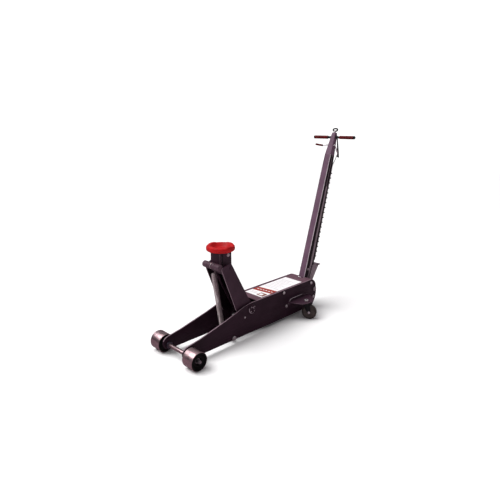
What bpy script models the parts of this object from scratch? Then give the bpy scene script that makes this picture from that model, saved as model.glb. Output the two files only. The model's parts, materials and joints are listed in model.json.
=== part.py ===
"""A long-chassis hydraulic service jack, standing with its lift arm raised and its handle leaning back.

The frame: metres, +Z up, floor at z = 0. The saddle end points to -Y and the handle to +Y.
Outlines are drawn in (y, z) with y measured backwards from the front axle, and place() then
moves the whole jack so that the origin lies halfway along it.
"""

from math import atan2, cos, pi, radians, sin

import bmesh
import bpy
from mathutils import Matrix, Vector

# ---------------------------------------------------------------- driving dimensions
ORIGIN_BEHIND_AXLE = 0.7100
GAP = 0.0003

WHEEL_R = 0.055
WHEEL_INNER_X = 0.112
WHEEL_OUTER_X = 0.194
AXLE_R = 0.012
AXLE_END_R = 0.010
AXLE_COLLAR_R = 0.019

PLATE_INNER_X = 0.088
PLATE_OUTER_X = 0.096
CHASSIS_BOTTOM_Z = 0.021
CHASSIS_TOP_Z = 0.222
CHASSIS_REAR_Y = 1.171

COVER_FRONT_Y = 0.556
COVER_REAR_Y = 1.121
COVER_NOTCH_Y = 1.0975
COVER_Z = 0.2155
COVER_THICKNESS = 0.004

TIE_ROD_R = 0.007
TIE_RODS = {
    "power_unit_upper_rod": (0.806, 0.203),
    "power_unit_lower_rod": (0.835, 0.100),
    "cover_rear_rod": (1.103, 0.198),
    "rear_tie_rod": (1.136, 0.086),
}

ARM_PIVOT = (0.500, 0.183)
ARM_SHAFT_R = 0.016
ARM_INNER_X = 0.070
ARM_OUTER_X = 0.077
HUB_R = 0.0225
HEAD_PIN = (0.345, 0.480)
HEAD_PIN_R = 0.009
HEAD_COLLAR_R = 0.012
CROSS_BAR = (0.270, 0.4926)
CROSS_BAR_R = 0.0195
GROOVE_R = 0.0165
LINK_OFFSET = (-0.016, -0.038)
LINK_INNER_X = 0.043
LINK_OUTER_X = 0.049
LINK_HALF_WIDTH = 0.007
LINK_PIN_R = 0.005
LINK_PLAY = 0.001

HEAD_HALF_X = 0.041
HEAD_TOP_Z = 0.5715
HEAD_FRONT = -0.0525
HEAD_REAR = 0.040
SADDLE_Y = 0.3357
SADDLE_R = 0.087
SADDLE_RIM_Z = 0.602
SADDLE_FLOOR_HEIGHT = 0.010
SADDLE_POST_R = 0.016
SADDLE_LUGS = 4

SPRING_ROD = (0.346, 0.036)
SPRING_ROD_R = 0.010
SPRING_ROD_NECK_R = 0.006
COIL_R = 0.0145
WIRE_R = 0.002
COIL_TURNS = 16
COIL_POINTS = 8

LEVER_LENGTH = 0.080
LEVER_ANGLE = radians(37.5)
ARM_RISE = radians(2)
ROLLER_R = 0.018
ROLLER_PIN_R = 0.006
RAM_Z = 0.110
RAM_R = 0.0165
RAM_HEAD_CLEARANCE = 0.0021
CYLINDER_R = 0.032
CYLINDER_FRONT_Y = 0.590
CYLINDER_REAR_Y = 0.768
RESERVOIR_REAR_Y = 1.085
OIL_SPACE_FRONT_Y = 0.865
OIL_SPACE_REAR_Y = 0.985
PUMP_BORE_DEPTH = 0.090

HANDLE_PIVOT = (1.145, 0.142)
HANDLE_SHAFT_R = 0.013
HANDLE_LEAN = radians(15.42)
TUBE_HALF_X = 0.026
TUBE_BOTTOM = 0.062
TUBE_TOP = 0.965
TUBE_WALL = 0.004
T_BAR_HEIGHT = 1.0944
T_BAR_R = 0.0085
T_BAR_REACH = 0.174
GRIP_R = 0.0118
GRIP_START_X = 0.050
PUMP_CRANK = 0.033
PUMP_CRANK_ANGLE = radians(-10)
PUMP_TRAVEL_PER_RADIAN = 0.0299
PUMP_LOBE_R = 0.010
PUMP_CLEARANCE = 0.0014
PLUNGER_R = 0.008
RELEASE_ROD_R = 0.004
LOCK_SHAFT = (-0.012, 1.036)
LOCK_WIRE_R = 0.0035

CASTER_PIN = (0.175, 0.951)
CASTER_TRAIL = 0.022
CASTER_HEADING = radians(60)
CASTER_WHEEL_R = 0.050
CASTER_WHEEL_HALF = 0.0145
CASTER_BOLT_R = 0.006
CASTER_BOLT_HALF = 0.0235
CASTER_PLATE_Z = 0.118
CASTER_PLATE_T = 0.006
KINGPIN_R = 0.008

PAINT = (0.10, 0.075, 0.10)
STEEL = (0.62, 0.56, 0.57)
BRIGHT = (0.78, 0.75, 0.76)
BLACK = (0.02, 0.02, 0.02)
RED = (0.62, 0.02, 0.02)
GRIP_RED = (0.30, 0.02, 0.03)
IRON = (0.22, 0.19, 0.18)


# ---------------------------------------------------------------- scene and helpers
for old in list(bpy.data.objects):
    bpy.data.objects.remove(old)

jack = bpy.data.collections.new("service_jack")
cutters = bpy.data.collections.new("cutters")
bpy.context.scene.collection.children.link(jack)
bpy.context.scene.collection.children.link(cutters)


def material(name, colour, roughness, metallic):
    made = bpy.data.materials.new(name)
    made.use_nodes = True
    shader = made.node_tree.nodes["Principled BSDF"]
    shader.inputs["Base Color"].default_value = (*colour, 1)
    shader.inputs["Roughness"].default_value = roughness
    shader.inputs["Metallic"].default_value = metallic
    return made


FINISH = {
    "paint": (PAINT, 0.45, 0.0),
    "steel": (STEEL, 0.30, 1.0),
    "bright": (BRIGHT, 0.22, 1.0),
    "black": (BLACK, 0.40, 0.0),
    "red": (RED, 0.35, 0.0),
    "grip": (GRIP_RED, 0.55, 0.0),
    "iron": (IRON, 0.60, 0.6),
}


def place(x, y, z):
    """A point given with y behind the front axle, in the jack's own frame."""
    return Vector((x, y - ORIGIN_BEHIND_AXLE, z))


def finish(obj, look, smooth_below=35):
    colour, roughness, metallic = FINISH[look]
    obj.data.materials.clear()
    obj.data.materials.append(material(f"{obj.name}_{look}", colour, roughness, metallic))
    obj.data.shade_smooth()
    obj.data.set_sharp_from_angle(angle=radians(smooth_below))
    return obj


def link(name, mesh):
    obj = bpy.data.objects.new(name, mesh)
    jack.objects.link(obj)
    return obj


def mesh_from(name, build):
    mesh = bpy.data.meshes.new(name)
    shape = bmesh.new()
    build(shape)
    bmesh.ops.recalc_face_normals(shape, faces=shape.faces)
    shape.to_mesh(mesh)
    shape.free()
    return mesh


def as_mesh(obj):
    """The curve object as a welded mesh object of the same name and place."""
    bpy.context.view_layer.update()
    graph = bpy.context.evaluated_depsgraph_get()
    mesh = bpy.data.meshes.new_from_object(obj.evaluated_get(graph))
    shape = bmesh.new()
    shape.from_mesh(mesh)
    bmesh.ops.remove_doubles(shape, verts=shape.verts, dist=0.00002)
    bmesh.ops.recalc_face_normals(shape, faces=shape.faces)
    shape.to_mesh(mesh)
    shape.free()
    name, matrix = obj.name, obj.matrix_world.copy()
    bpy.data.objects.remove(obj)
    made = link(name, mesh)
    made.matrix_world = matrix
    return made


def bevel(obj, width, segments=2):
    rounding = obj.modifiers.new("edges", "BEVEL")
    rounding.width = width
    rounding.segments = segments
    rounding.limit_method = "ANGLE"
    rounding.angle_limit = radians(40)
    return obj


def join(obj, other, operation="UNION"):
    """A Boolean with the other object, which becomes a hidden helper."""
    step = obj.modifiers.new(operation.lower(), "BOOLEAN")
    step.operation = operation
    step.solver = "EXACT"
    step.object = other
    other.hide_render = True
    other.display_type = "WIRE"
    for holder in list(other.users_collection):
        holder.objects.unlink(other)
    cutters.objects.link(other)
    return obj


def cut(obj, *others):
    for other in others:
        join(obj, other, "DIFFERENCE")
    return obj


AXIS_TURN = {
    "X": Matrix.Rotation(pi / 2, 4, "Y"),
    "Y": Matrix.Rotation(-pi / 2, 4, "X"),
    "Z": Matrix.Identity(4),
}


def cylinder(name, radius, start, end, look="steel", sides=20):
    """A round bar between two points of the jack's frame."""
    length = (end - start).length

    def build(shape):
        bmesh.ops.create_cone(
            shape, cap_ends=True, segments=sides, radius1=radius, radius2=radius, depth=length
        )

    obj = link(name, mesh_from(name, build))
    turn = (end - start).to_track_quat("Z", "Y").to_matrix().to_4x4()
    obj.matrix_world = Matrix.Translation((start + end) / 2) @ turn
    return finish(obj, look)


def cross_bar(name, at, half_length, radius, look="steel", sides=20):
    """A round bar along X, centred on the middle plane at (y, z)."""
    return cylinder(
        name, radius, place(-half_length, *at), place(half_length, *at), look, sides
    )


def turned(name, profile, origin, axis, look="steel", steps=24):
    """A profile of (radius, height) pairs turned about an axis through origin.

    A profile that starts and ends on the axis gives a solid, and any other is closed to a ring.
    """
    mesh = bpy.data.meshes.new(name)
    points = [(r, 0, h) for r, h in profile]
    count = len(points)
    solid = profile[0][0] == 0 and profile[-1][0] == 0
    edges = [(i, i + 1) for i in range(count - 1)]
    if not solid:
        edges.append((count - 1, 0))
    mesh.from_pydata(points, edges, [])
    obj = link(name, mesh)
    obj.matrix_world = Matrix.Translation(origin) @ AXIS_TURN[axis]
    screw = obj.modifiers.new("turn", "SCREW")
    screw.steps = steps
    screw.render_steps = steps
    screw.use_merge_vertices = True
    screw.merge_threshold = 0.00001
    screw.use_smooth_shade = True
    return finish(obj, look)


def tube_profile(outer, inner, low, high):
    """A plain ring's outline, running down its outer side."""
    return [(outer, high), (outer, low), (inner, low), (inner, high)]


def arc(centre, radius, start, end, steps=8):
    """Points on an arc about (y, z), with angles in degrees from +Y towards +Z."""
    return [
        (
            centre[0] + radius * cos(radians(start + (end - start) * i / steps)),
            centre[1] + radius * sin(radians(start + (end - start) * i / steps)),
        )
        for i in range(steps + 1)
    ]


def circle(centre, radius, sides=20):
    return arc(centre, radius, 0, 360 * (sides - 1) / sides, sides - 1)


def flat(name, outline, thickness, holes=()):
    """A flat curve outline with holes, extruded evenly about its own plane."""
    curve = bpy.data.curves.new(name, "CURVE")
    curve.dimensions = "2D"
    curve.fill_mode = "BOTH"
    curve.extrude = thickness / 2
    for ring in [outline, *holes]:
        spline = curve.splines.new("POLY")
        spline.points.add(len(ring) - 1)
        for point, (u, v) in zip(spline.points, ring):
            point.co = (u, v, 0, 1)
        spline.use_cyclic_u = True
    return link(name, curve)


def side_plate(name, outline, x_inner, x_outer, look="paint", holes=(), edge=0.0):
    """A plate in the (y, z) plane, between two distances from the middle plane."""
    obj = flat(name, outline, abs(x_outer - x_inner), holes)
    upright = Matrix(((0, 0, 1, 0), (1, 0, 0, 0), (0, 1, 0, 0), (0, 0, 0, 1)))
    middle = (x_inner + x_outer) / 2
    obj.matrix_world = Matrix.Translation(place(middle, 0, 0)) @ upright
    obj = as_mesh(obj)
    if edge:
        bevel(obj, edge, 1)
    return finish(obj, look)


def level_plate(name, outline, z_low, z_high, look="paint", holes=()):
    """A plate in the (x, y) plane, between two heights."""
    obj = flat(name, outline, z_high - z_low, holes)
    obj.matrix_world = Matrix.Translation(place(0, 0, (z_low + z_high) / 2))
    return finish(as_mesh(obj), look)


def box(name, low, high, look="paint", edge=0.0):
    """A box between two corners, with y behind the front axle."""
    a = place(*low)
    b = place(*high)

    def build(shape):
        bmesh.ops.create_cube(shape, size=1)
        bmesh.ops.scale(shape, vec=b - a, verts=shape.verts)

    obj = link(name, mesh_from(name, build))
    obj.location = (a + b) / 2
    if edge:
        bevel(obj, edge)
    return finish(obj, look)


def wire(name, points, radius, look="steel", resolution=2, closed=False):
    """A round wire through the points, with flat ends or closed to a loop."""
    curve = bpy.data.curves.new(name, "CURVE")
    curve.dimensions = "3D"
    curve.bevel_depth = radius
    curve.bevel_resolution = resolution
    curve.use_fill_caps = True
    spline = curve.splines.new("POLY")
    spline.points.add(len(points) - 1)
    for point, co in zip(spline.points, points):
        point.co = (*co, 1)
    spline.use_cyclic_u = closed
    return finish(as_mesh(link(name, curve)), look)


def on_axis(obj, axis_point):
    """Moves the object's origin to a point of its joint's axis, leaving its shape in place."""
    bpy.context.view_layer.update()
    shift = Matrix.Translation(axis_point)
    obj.data.transform(shift.inverted() @ obj.matrix_world)
    obj.matrix_world = shift
    return obj


def hang(obj, holder):
    """Parents the object to another one that is on its joint's axis, leaving it in place."""
    bpy.context.view_layer.update()
    obj.parent = holder
    obj.matrix_parent_inverse = holder.matrix_world.inverted()
    return obj


def axis_marker(name, at, holder=None):
    """An empty on a joint's axis."""
    marker = bpy.data.objects.new(name, None)
    jack.objects.link(marker)
    marker.location = at
    marker.parent = holder
    return marker


def tangent_outline(start, r_start, end, r_end, steps=10):
    """The outline of a bar with round ends of two radii, as (y, z) points."""
    along = degrees_of(end[0] - start[0], end[1] - start[1])
    return arc(start, r_start, along + 90, along + 270, steps) + arc(
        end, r_end, along - 90, along + 90, steps
    )


def degrees_of(dy, dz):
    return atan2(dz, dy) * 180 / pi


def towards(at, angle, distance):
    return (at[0] + distance * cos(radians(angle)), at[1] + distance * sin(radians(angle)))


def turned_both_ways(name, half_profile, at, look, steps):
    """A bar along X that is the same on both sides of the middle plane."""
    other = [(radius, -x) for radius, x in reversed(half_profile)]
    return turned(name, half_profile + other, place(0, *at), "X", look, steps)


SIDES = (("left", -1), ("right", 1))
ROLLER_AT = towards(ARM_PIVOT, 270 - LEVER_ANGLE * 180 / pi, LEVER_LENGTH)
LINK_START = (ARM_PIVOT[0] + LINK_OFFSET[0], ARM_PIVOT[1] + LINK_OFFSET[1])
LINK_END = (HEAD_PIN[0] + LINK_OFFSET[0], HEAD_PIN[1] + LINK_OFFSET[1])


# ---------------------------------------------------------------- chassis
def chassis_outline():
    """One side plate: a swept nose over the front axle, a flat top and a rounded tail."""
    nose = arc((0.004, 0.066), 0.041, 262, 100, 9)
    sweep = [(0.090, 0.1225), (0.180, 0.1435), (0.290, 0.170), (0.380, 0.1960), (0.430, 0.2120)]
    shoulder = [(0.470, 0.2195), (0.510, CHASSIS_TOP_Z)]
    tail = arc((1.100, 0.162), CHASSIS_TOP_Z - 0.162, 90, 10, 8)
    rear = [(CHASSIS_REAR_Y - 0.004, 0.120), (1.158, 0.074), (1.124, CHASSIS_BOTTOM_Z)]
    return nose + sweep + shoulder + tail + rear


def chassis_holes():
    rods = [(SPRING_ROD, SPRING_ROD_NECK_R), (HANDLE_PIVOT, HANDLE_SHAFT_R)]
    rods += [(at, TIE_ROD_R) for at in TIE_RODS.values()]
    rods += [((0, WHEEL_R), AXLE_R), (ARM_PIVOT, ARM_SHAFT_R)]
    return [circle(at, radius + GAP) for at, radius in rods]


def headed_rod(name, at, radius, head_radius, head_length, look, middle_radius=None):
    """A cross rod with a round head outside each side plate, and thicker between them if asked."""
    end = PLATE_OUTER_X + GAP
    half = [
        (0, end + head_length),
        (head_radius * 0.8, end + head_length),
        (head_radius, end + head_length * 0.6),
        (head_radius, end),
        (radius, end),
    ]
    if middle_radius:
        half += [(radius, PLATE_INNER_X - GAP), (middle_radius, PLATE_INNER_X - GAP)]
    return turned_both_ways(name, half, at, look, 16)


def chassis():
    for side, sign in SIDES:
        outline = chassis_outline()
        side_plate(
            f"side_plate_{side}", outline, sign * PLATE_INNER_X, sign * PLATE_OUTER_X,
            "paint", chassis_holes(),
        )
    end = WHEEL_OUTER_X + 0.010
    shoulder = PLATE_INNER_X - GAP
    half = [(0, end), (AXLE_END_R, end), (AXLE_END_R, WHEEL_INNER_X - 0.002)]
    half += [(AXLE_R, WHEEL_INNER_X - 0.002), (AXLE_R, shoulder)]
    half += [(AXLE_COLLAR_R, shoulder), (AXLE_COLLAR_R, shoulder - 0.012), (AXLE_R, shoulder - 0.012)]
    turned_both_ways("front_axle", half, (0, WHEEL_R), "steel", 20)
    for side, sign in SIDES:
        thickness = WHEEL_INNER_X - PLATE_OUTER_X - 2 * GAP
        middle = sign * (PLATE_OUTER_X + WHEEL_INNER_X) / 2
        ring = tube_profile(0.020, AXLE_R + GAP, -thickness / 2, thickness / 2)
        turned(f"axle_spacer_{side}", ring, place(middle, 0, WHEEL_R), "X", "steel", 20)
        nut = box(
            f"axle_nut_{side}", (sign * (WHEEL_OUTER_X - 0.0165), -0.013, WHEEL_R - 0.013),
            (sign * (WHEEL_OUTER_X - 0.0015), 0.013, WHEEL_R + 0.013), "steel",
        )
        hexagon(nut, 0.0125, 0.015)
        bore = cylinder(
            f"nut_bore_{side}", AXLE_END_R + GAP, place(sign * 0.150, 0, WHEEL_R),
            place(sign * 0.220, 0, WHEEL_R), "steel", 20,
        )
        cut(nut, bore)
    headed_rod(
        "front_cross_rod", SPRING_ROD, SPRING_ROD_NECK_R, 0.0150, 0.008, "steel", SPRING_ROD_R
    )
    for name, at in TIE_RODS.items():
        headed_rod(name, at, TIE_ROD_R, 0.011, 0.006, "steel")
    cross_bar("arm_pivot_shaft", ARM_PIVOT, PLATE_OUTER_X + 0.001, ARM_SHAFT_R)
    for side, sign in SIDES:
        cap = [
            (0, 0.005), (0.026, 0.005), (0.030, 0.003), (0.030, -0.002),
            (ARM_SHAFT_R + 0.004, -0.002), (0, -0.002),
        ]
        if sign < 0:
            cap = [(radius, -height) for radius, height in reversed(cap)]
        turned(
            f"pivot_cap_{side}", cap, place(sign * (PLATE_OUTER_X + 0.0035), *ARM_PIVOT),
            "X", "paint", 24,
        )
    top_cover()


def top_cover():
    """The plate over the power unit, notched at the back around the handle's tube."""
    edge = PLATE_INNER_X - GAP
    notch = TUBE_HALF_X + 0.0025
    half = [
        (edge, COVER_FRONT_Y), (edge, COVER_REAR_Y), (notch, COVER_REAR_Y),
        (notch, COVER_NOTCH_Y + 0.004), (notch - 0.004, COVER_NOTCH_Y),
    ]
    outline = half + [(-x, y) for x, y in reversed(half)]
    level_plate("top_cover", outline, COVER_Z, COVER_Z + COVER_THICKNESS)


def hexagon(obj, radius, length):
    """Replaces the object's box with a six-sided prism along X."""

    def build(shape):
        bmesh.ops.create_cone(
            shape, cap_ends=True, segments=6, radius1=radius, radius2=radius, depth=length,
            matrix=AXIS_TURN["X"],
        )

    old = obj.data
    obj.data = mesh_from(obj.name, build)
    obj.data.materials.append(old.materials[0])


def power_unit():
    """The reservoir with the pump, and the lift cylinder that screws into its front."""
    axis = place(0, CYLINDER_FRONT_Y, RAM_Z)
    bore = RAM_R + GAP
    depth = CYLINDER_REAR_Y - CYLINDER_FRONT_Y
    profile = [
        (0, depth), (CYLINDER_R, depth), (CYLINDER_R, 0.020), (0.060, 0.020), (0.060, 0),
        (bore, 0), (bore, depth - 0.012), (0, depth - 0.012),
    ]
    turned("ram_cylinder", profile, axis, "Y", "black", 28)
    reservoir = box(
        "fluid_reservoir", (-0.074, CYLINDER_REAR_Y + GAP, 0.050),
        (0.074, RESERVOIR_REAR_Y - 0.030, 0.208), "black", 0.004,
    )
    holes = [TIE_RODS["power_unit_upper_rod"], TIE_RODS["power_unit_lower_rod"]]
    for number, at in enumerate(holes):
        drill = cross_bar(f"reservoir_drill_{number}", at, 0.090, TIE_ROD_R + GAP, "black", 16)
        cut(reservoir, drill)
    plunger_z = HANDLE_PIVOT[1] - PUMP_CRANK * cos(PUMP_CRANK_ANGLE)
    rear = RESERVOIR_REAR_Y - 0.030
    drill = cylinder(
        "plunger_drill", PLUNGER_R + GAP, place(0, rear - PUMP_BORE_DEPTH, plunger_z),
        place(0, rear + 0.010, plunger_z), "black", 20,
    )
    oil_space = box(
        "oil_space", (-0.066, OIL_SPACE_FRONT_Y, 0.058), (0.066, OIL_SPACE_REAR_Y, 0.200), "black"
    )
    cut(reservoir, oil_space, drill)
    turned(
        "filler_plug", [(0, 0.0055), (0.010, 0.0055), (0.010, 0), (0, 0)],
        place(0.045, 0.930, 0.2080 + GAP), "Z", "steel", 16,
    )
    for side, sign in SIDES:
        outline = arc(LINK_START, 0.013, 80, 290, 10)
        front = CYLINDER_FRONT_Y - GAP
        outline += [(front, 0.094), (front, 0.152)]
        ear = side_plate(
            f"link_anchor_{side}", outline, sign * 0.051, sign * 0.057, "black",
        )
        pin = cylinder(
            f"link_anchor_pin_{side}", LINK_PIN_R, place(sign * (LINK_INNER_X - 0.003), *LINK_START),
            place(sign * 0.053, *LINK_START), "black", 16,
        )
        join(ear, pin)


# ---------------------------------------------------------------- lift arm
def arm_outline():
    """The tapered side of the arm, with its tip at the cross bar and its heel at the pivot."""
    tip_front = arc((0.289, 0.479), 0.013, 205, 110, 4)
    tip_rear = arc((0.343, 0.4945), 0.012, 105, 30, 4)
    heel = arc(ARM_PIVOT, 0.036, 25, -110, 9)
    return tip_front + tip_rear + [(0.489, 0.254)] + heel + [(0.412, 0.150), (0.385, 0.201)]


def lift_arm():
    joint = place(0, *ARM_PIVOT)
    marker = axis_marker("arm_pivot_axis", joint)
    for side, sign in SIDES:
        plate = side_plate(
            f"arm_plate_{side}", arm_outline(), sign * ARM_INNER_X, sign * ARM_OUTER_X,
            "paint", [circle(HEAD_PIN, HEAD_PIN_R + GAP)],
        )
        on_axis(plate, joint)
        boss = cylinder(
            f"arm_boss_{side}", 0.026, place(sign * (ARM_OUTER_X - 0.002), *ARM_PIVOT),
            place(sign * (PLATE_INNER_X - GAP), *ARM_PIVOT), "paint", 24,
        )
        bore = cross_bar(f"arm_bore_{side}", ARM_PIVOT, PLATE_OUTER_X, ARM_SHAFT_R + GAP)
        join(plate, boss)
        cut(plate, bore)
    half = ARM_INNER_X - GAP
    web_outline = [(0.3985, 0.406), (0.4805, 0.2565), (0.4745, 0.2530), (0.3925, 0.4025)]
    on_axis(side_plate("arm_web", web_outline, -half, half), joint)
    bar_profile = [(0, half), (CROSS_BAR_R, half), (CROSS_BAR_R, 0.004), (GROOVE_R, 0.003)]
    bar = turned_both_ways("arm_cross_bar", bar_profile, CROSS_BAR, "paint", 24)
    hang(bar, marker)
    pin_profile = [
        (0, ARM_OUTER_X + 0.004), (HEAD_PIN_R, ARM_OUTER_X + 0.004),
        (HEAD_PIN_R, ARM_INNER_X - 0.0005), (HEAD_COLLAR_R, ARM_INNER_X - 0.0005),
        (HEAD_COLLAR_R, LINK_INNER_X - 0.001), (HEAD_PIN_R, LINK_INNER_X - 0.001),
    ]
    hang(turned_both_ways("head_pin", pin_profile, HEAD_PIN, "steel", 20), marker)
    hub = turned(
        "arm_heel", tube_profile(HUB_R, ARM_SHAFT_R + GAP, -half, half), joint, "X", "paint", 24
    )
    for side, sign in SIDES:
        blade_outline = tangent_outline(ARM_PIVOT, 0.021, ROLLER_AT, 0.014)
        blade = side_plate(
            f"heel_blade_{side}", blade_outline, sign * 0.018, sign * 0.028, "paint",
            [circle(ARM_PIVOT, ARM_SHAFT_R + 0.002)],
        )
        join(hub, blade)
    join(hub, cross_bar("heel_roller_pin", ROLLER_AT, 0.030, ROLLER_PIN_R, "steel", 16))
    ring = tube_profile(ROLLER_R, ROLLER_PIN_R + GAP, -0.017, 0.017)
    turned("heel_roller", ring, place(0, *ROLLER_AT), "X", "steel", 24)


def ram():
    """The ram, whose flat end presses on the arm's heel roller from behind.

    The roller's heel starts just ahead of the ram, so that the arm can rise to its stop.
    """
    full_angle = LEVER_ANGLE + ARM_RISE
    slope = sin(full_angle) * LEVER_LENGTH / full_angle
    face = ARM_PIVOT[0] - slope * LEVER_ANGLE + ROLLER_R + RAM_HEAD_CLEARANCE
    axis = place(0, face, RAM_Z)
    length = 0.160
    profile = [
        (0, length), (RAM_R - 0.001, length), (RAM_R, length - 0.001), (RAM_R, 0.001),
        (RAM_R - 0.001, 0), (0, 0),
    ]
    turned("ram_rod", profile, axis, "Y", "bright", 24)


def leveling_links():
    """The flat links with round eyes that keep the head level as the arm swings."""
    start, end, width = LINK_START, LINK_END, LINK_HALF_WIDTH
    eye, neck = 0.0105, 0.020
    along = degrees_of(end[0] - start[0], end[1] - start[1])
    outline = arc(start, eye, along + 50, along + 310, 12)
    outline += [towards(towards(start, along, neck), along - 90, width)]
    outline += [towards(towards(end, along, -neck), along - 90, width)]
    outline += arc(end, eye, along - 130, along + 130, 12)
    outline += [towards(towards(end, along, -neck), along + 90, width)]
    outline += [towards(towards(start, along, neck), along + 90, width)]
    for side, sign in SIDES:
        link_bar = side_plate(
            f"leveling_link_{side}", outline, sign * LINK_INNER_X, sign * LINK_OUTER_X, "paint",
            [circle(start, LINK_PIN_R + GAP), circle(end, LINK_PIN_R + LINK_PLAY)],
        )
        on_axis(link_bar, place(0, *start))


# ---------------------------------------------------------------- head and saddle
def head():
    """The head casting, with the pin for the links and the socket that the saddle turns in."""
    front = HEAD_PIN[0] + HEAD_FRONT
    rear = HEAD_PIN[0] + HEAD_REAR
    outline = [(front, HEAD_TOP_Z)] + arc(HEAD_PIN, -HEAD_FRONT, 180, 290, 12)
    outline += [(rear, HEAD_PIN[1] - 0.022), (rear, HEAD_TOP_Z)]
    block = side_plate(
        "head_block", outline, -HEAD_HALF_X, HEAD_HALF_X, "paint",
        [circle(HEAD_PIN, HEAD_PIN_R + GAP)], 0.0015,
    )
    socket = cylinder(
        "saddle_socket", SADDLE_POST_R + GAP, place(0, SADDLE_Y, HEAD_PIN[1] + 0.022),
        place(0, SADDLE_Y, HEAD_TOP_Z + 0.010), "paint", 24,
    )
    cut(block, socket)
    on_axis(block, place(0, *HEAD_PIN))
    pin = cross_bar("link_head_pin", LINK_END, LINK_OUTER_X + 0.0015, LINK_PIN_R, "steel", 16)
    join(block, pin)


def saddle():
    """The turned cup with its rim lugs and the post that turns in the head block."""
    base = HEAD_TOP_Z + GAP
    rim = SADDLE_RIM_Z
    post_low = HEAD_PIN[1] + 0.0225
    origin = place(0, SADDLE_Y, base)
    height = rim - base
    profile = [
        (0, SADDLE_FLOOR_HEIGHT), (0.040, SADDLE_FLOOR_HEIGHT),
        (0.058, height - 0.004), (0.064, height - 0.004),
        (SADDLE_R - 0.004, height - 0.002), (SADDLE_R, height - 0.006), (SADDLE_R, 0.014),
        (SADDLE_R - 0.010, 0.004), (0.060, 0), (0, 0),
    ]
    cup = turned("saddle", profile, origin, "Z", "red", 32)
    for number in range(SADDLE_LUGS):
        angle = 360 * number / SADDLE_LUGS
        lug = box(f"saddle_lug_{number}", (-0.020, -0.006, -0.008), (0.020, 0.006, 0.006), "red")
        lug.location = place(*towards((0, SADDLE_Y), angle, SADDLE_R - 0.013), rim)
        lug.rotation_euler = (0, 0, radians(angle + 90))
        join(cup, lug)
    post = [
        (0, base + 0.005), (SADDLE_POST_R, base + 0.005), (SADDLE_POST_R, post_low), (0, post_low)
    ]
    join(cup, turned("saddle_post", post, place(0, SADDLE_Y, 0), "Z", "steel", 24))


# ---------------------------------------------------------------- return spring
def return_spring():
    """A stretched coil between the arm's cross bar and the front cross rod, with looped ends."""
    top = Vector((0, *CROSS_BAR))
    low = Vector((0, *SPRING_ROD))
    down = (low - top).normalized()
    across = Vector((0, -down.z, down.y))
    aside = Vector((1, 0, 0))
    top_loop = GROOVE_R + WIRE_R + 0.0008
    low_loop = SPRING_ROD_R + WIRE_R + 0.0008
    coil_start = 0.062
    coil_end = (low - top).length - 0.045
    hook_steps = 10
    points = []
    for step in range(hook_steps + 1):
        turn = radians(-70 - 200 * step / hook_steps)
        points.append(top + top_loop * (cos(turn) * down + sin(turn) * across))
    steps = COIL_TURNS * COIL_POINTS
    for step in range(steps + 1):
        turn = 2 * pi * step / COIL_POINTS
        along = coil_start + (coil_end - coil_start) * step / steps
        ring = COIL_R * (cos(turn) * across + sin(turn) * aside)
        points.append(top + along * down + ring)
    for step in range(hook_steps + 1):
        turn = radians(90 - 250 * step / hook_steps)
        points.append(low + low_loop * (cos(turn) * down + sin(turn) * across))
    shift = Vector((0, ORIGIN_BEHIND_AXLE, 0))
    spring = wire("return_spring", [p - shift for p in points], WIRE_R, "bright", 0)
    on_axis(spring, place(0, *SPRING_ROD))


# ---------------------------------------------------------------- front wheels and casters
def front_wheels():
    middle = (WHEEL_INNER_X + WHEEL_OUTER_X) / 2
    half = (WHEEL_OUTER_X - WHEEL_INNER_X) / 2
    hole = AXLE_END_R + GAP
    profile = [
        (WHEEL_R - 0.002, half), (WHEEL_R, half - 0.002), (WHEEL_R, 0.002 - half),
        (WHEEL_R - 0.002, -half), (hole, -half), (hole, half - 0.018), (0.020, half - 0.018),
        (0.022, half - 0.004), (WHEEL_R - 0.008, half - 0.004), (WHEEL_R - 0.006, half),
    ]
    for side, sign in SIDES:
        ring = profile if sign > 0 else [(radius, -x) for radius, x in reversed(profile)]
        turned(
            f"front_wheel_{side}", ring, place(sign * middle, 0, WHEEL_R), "X", "steel", 32
        )


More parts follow.
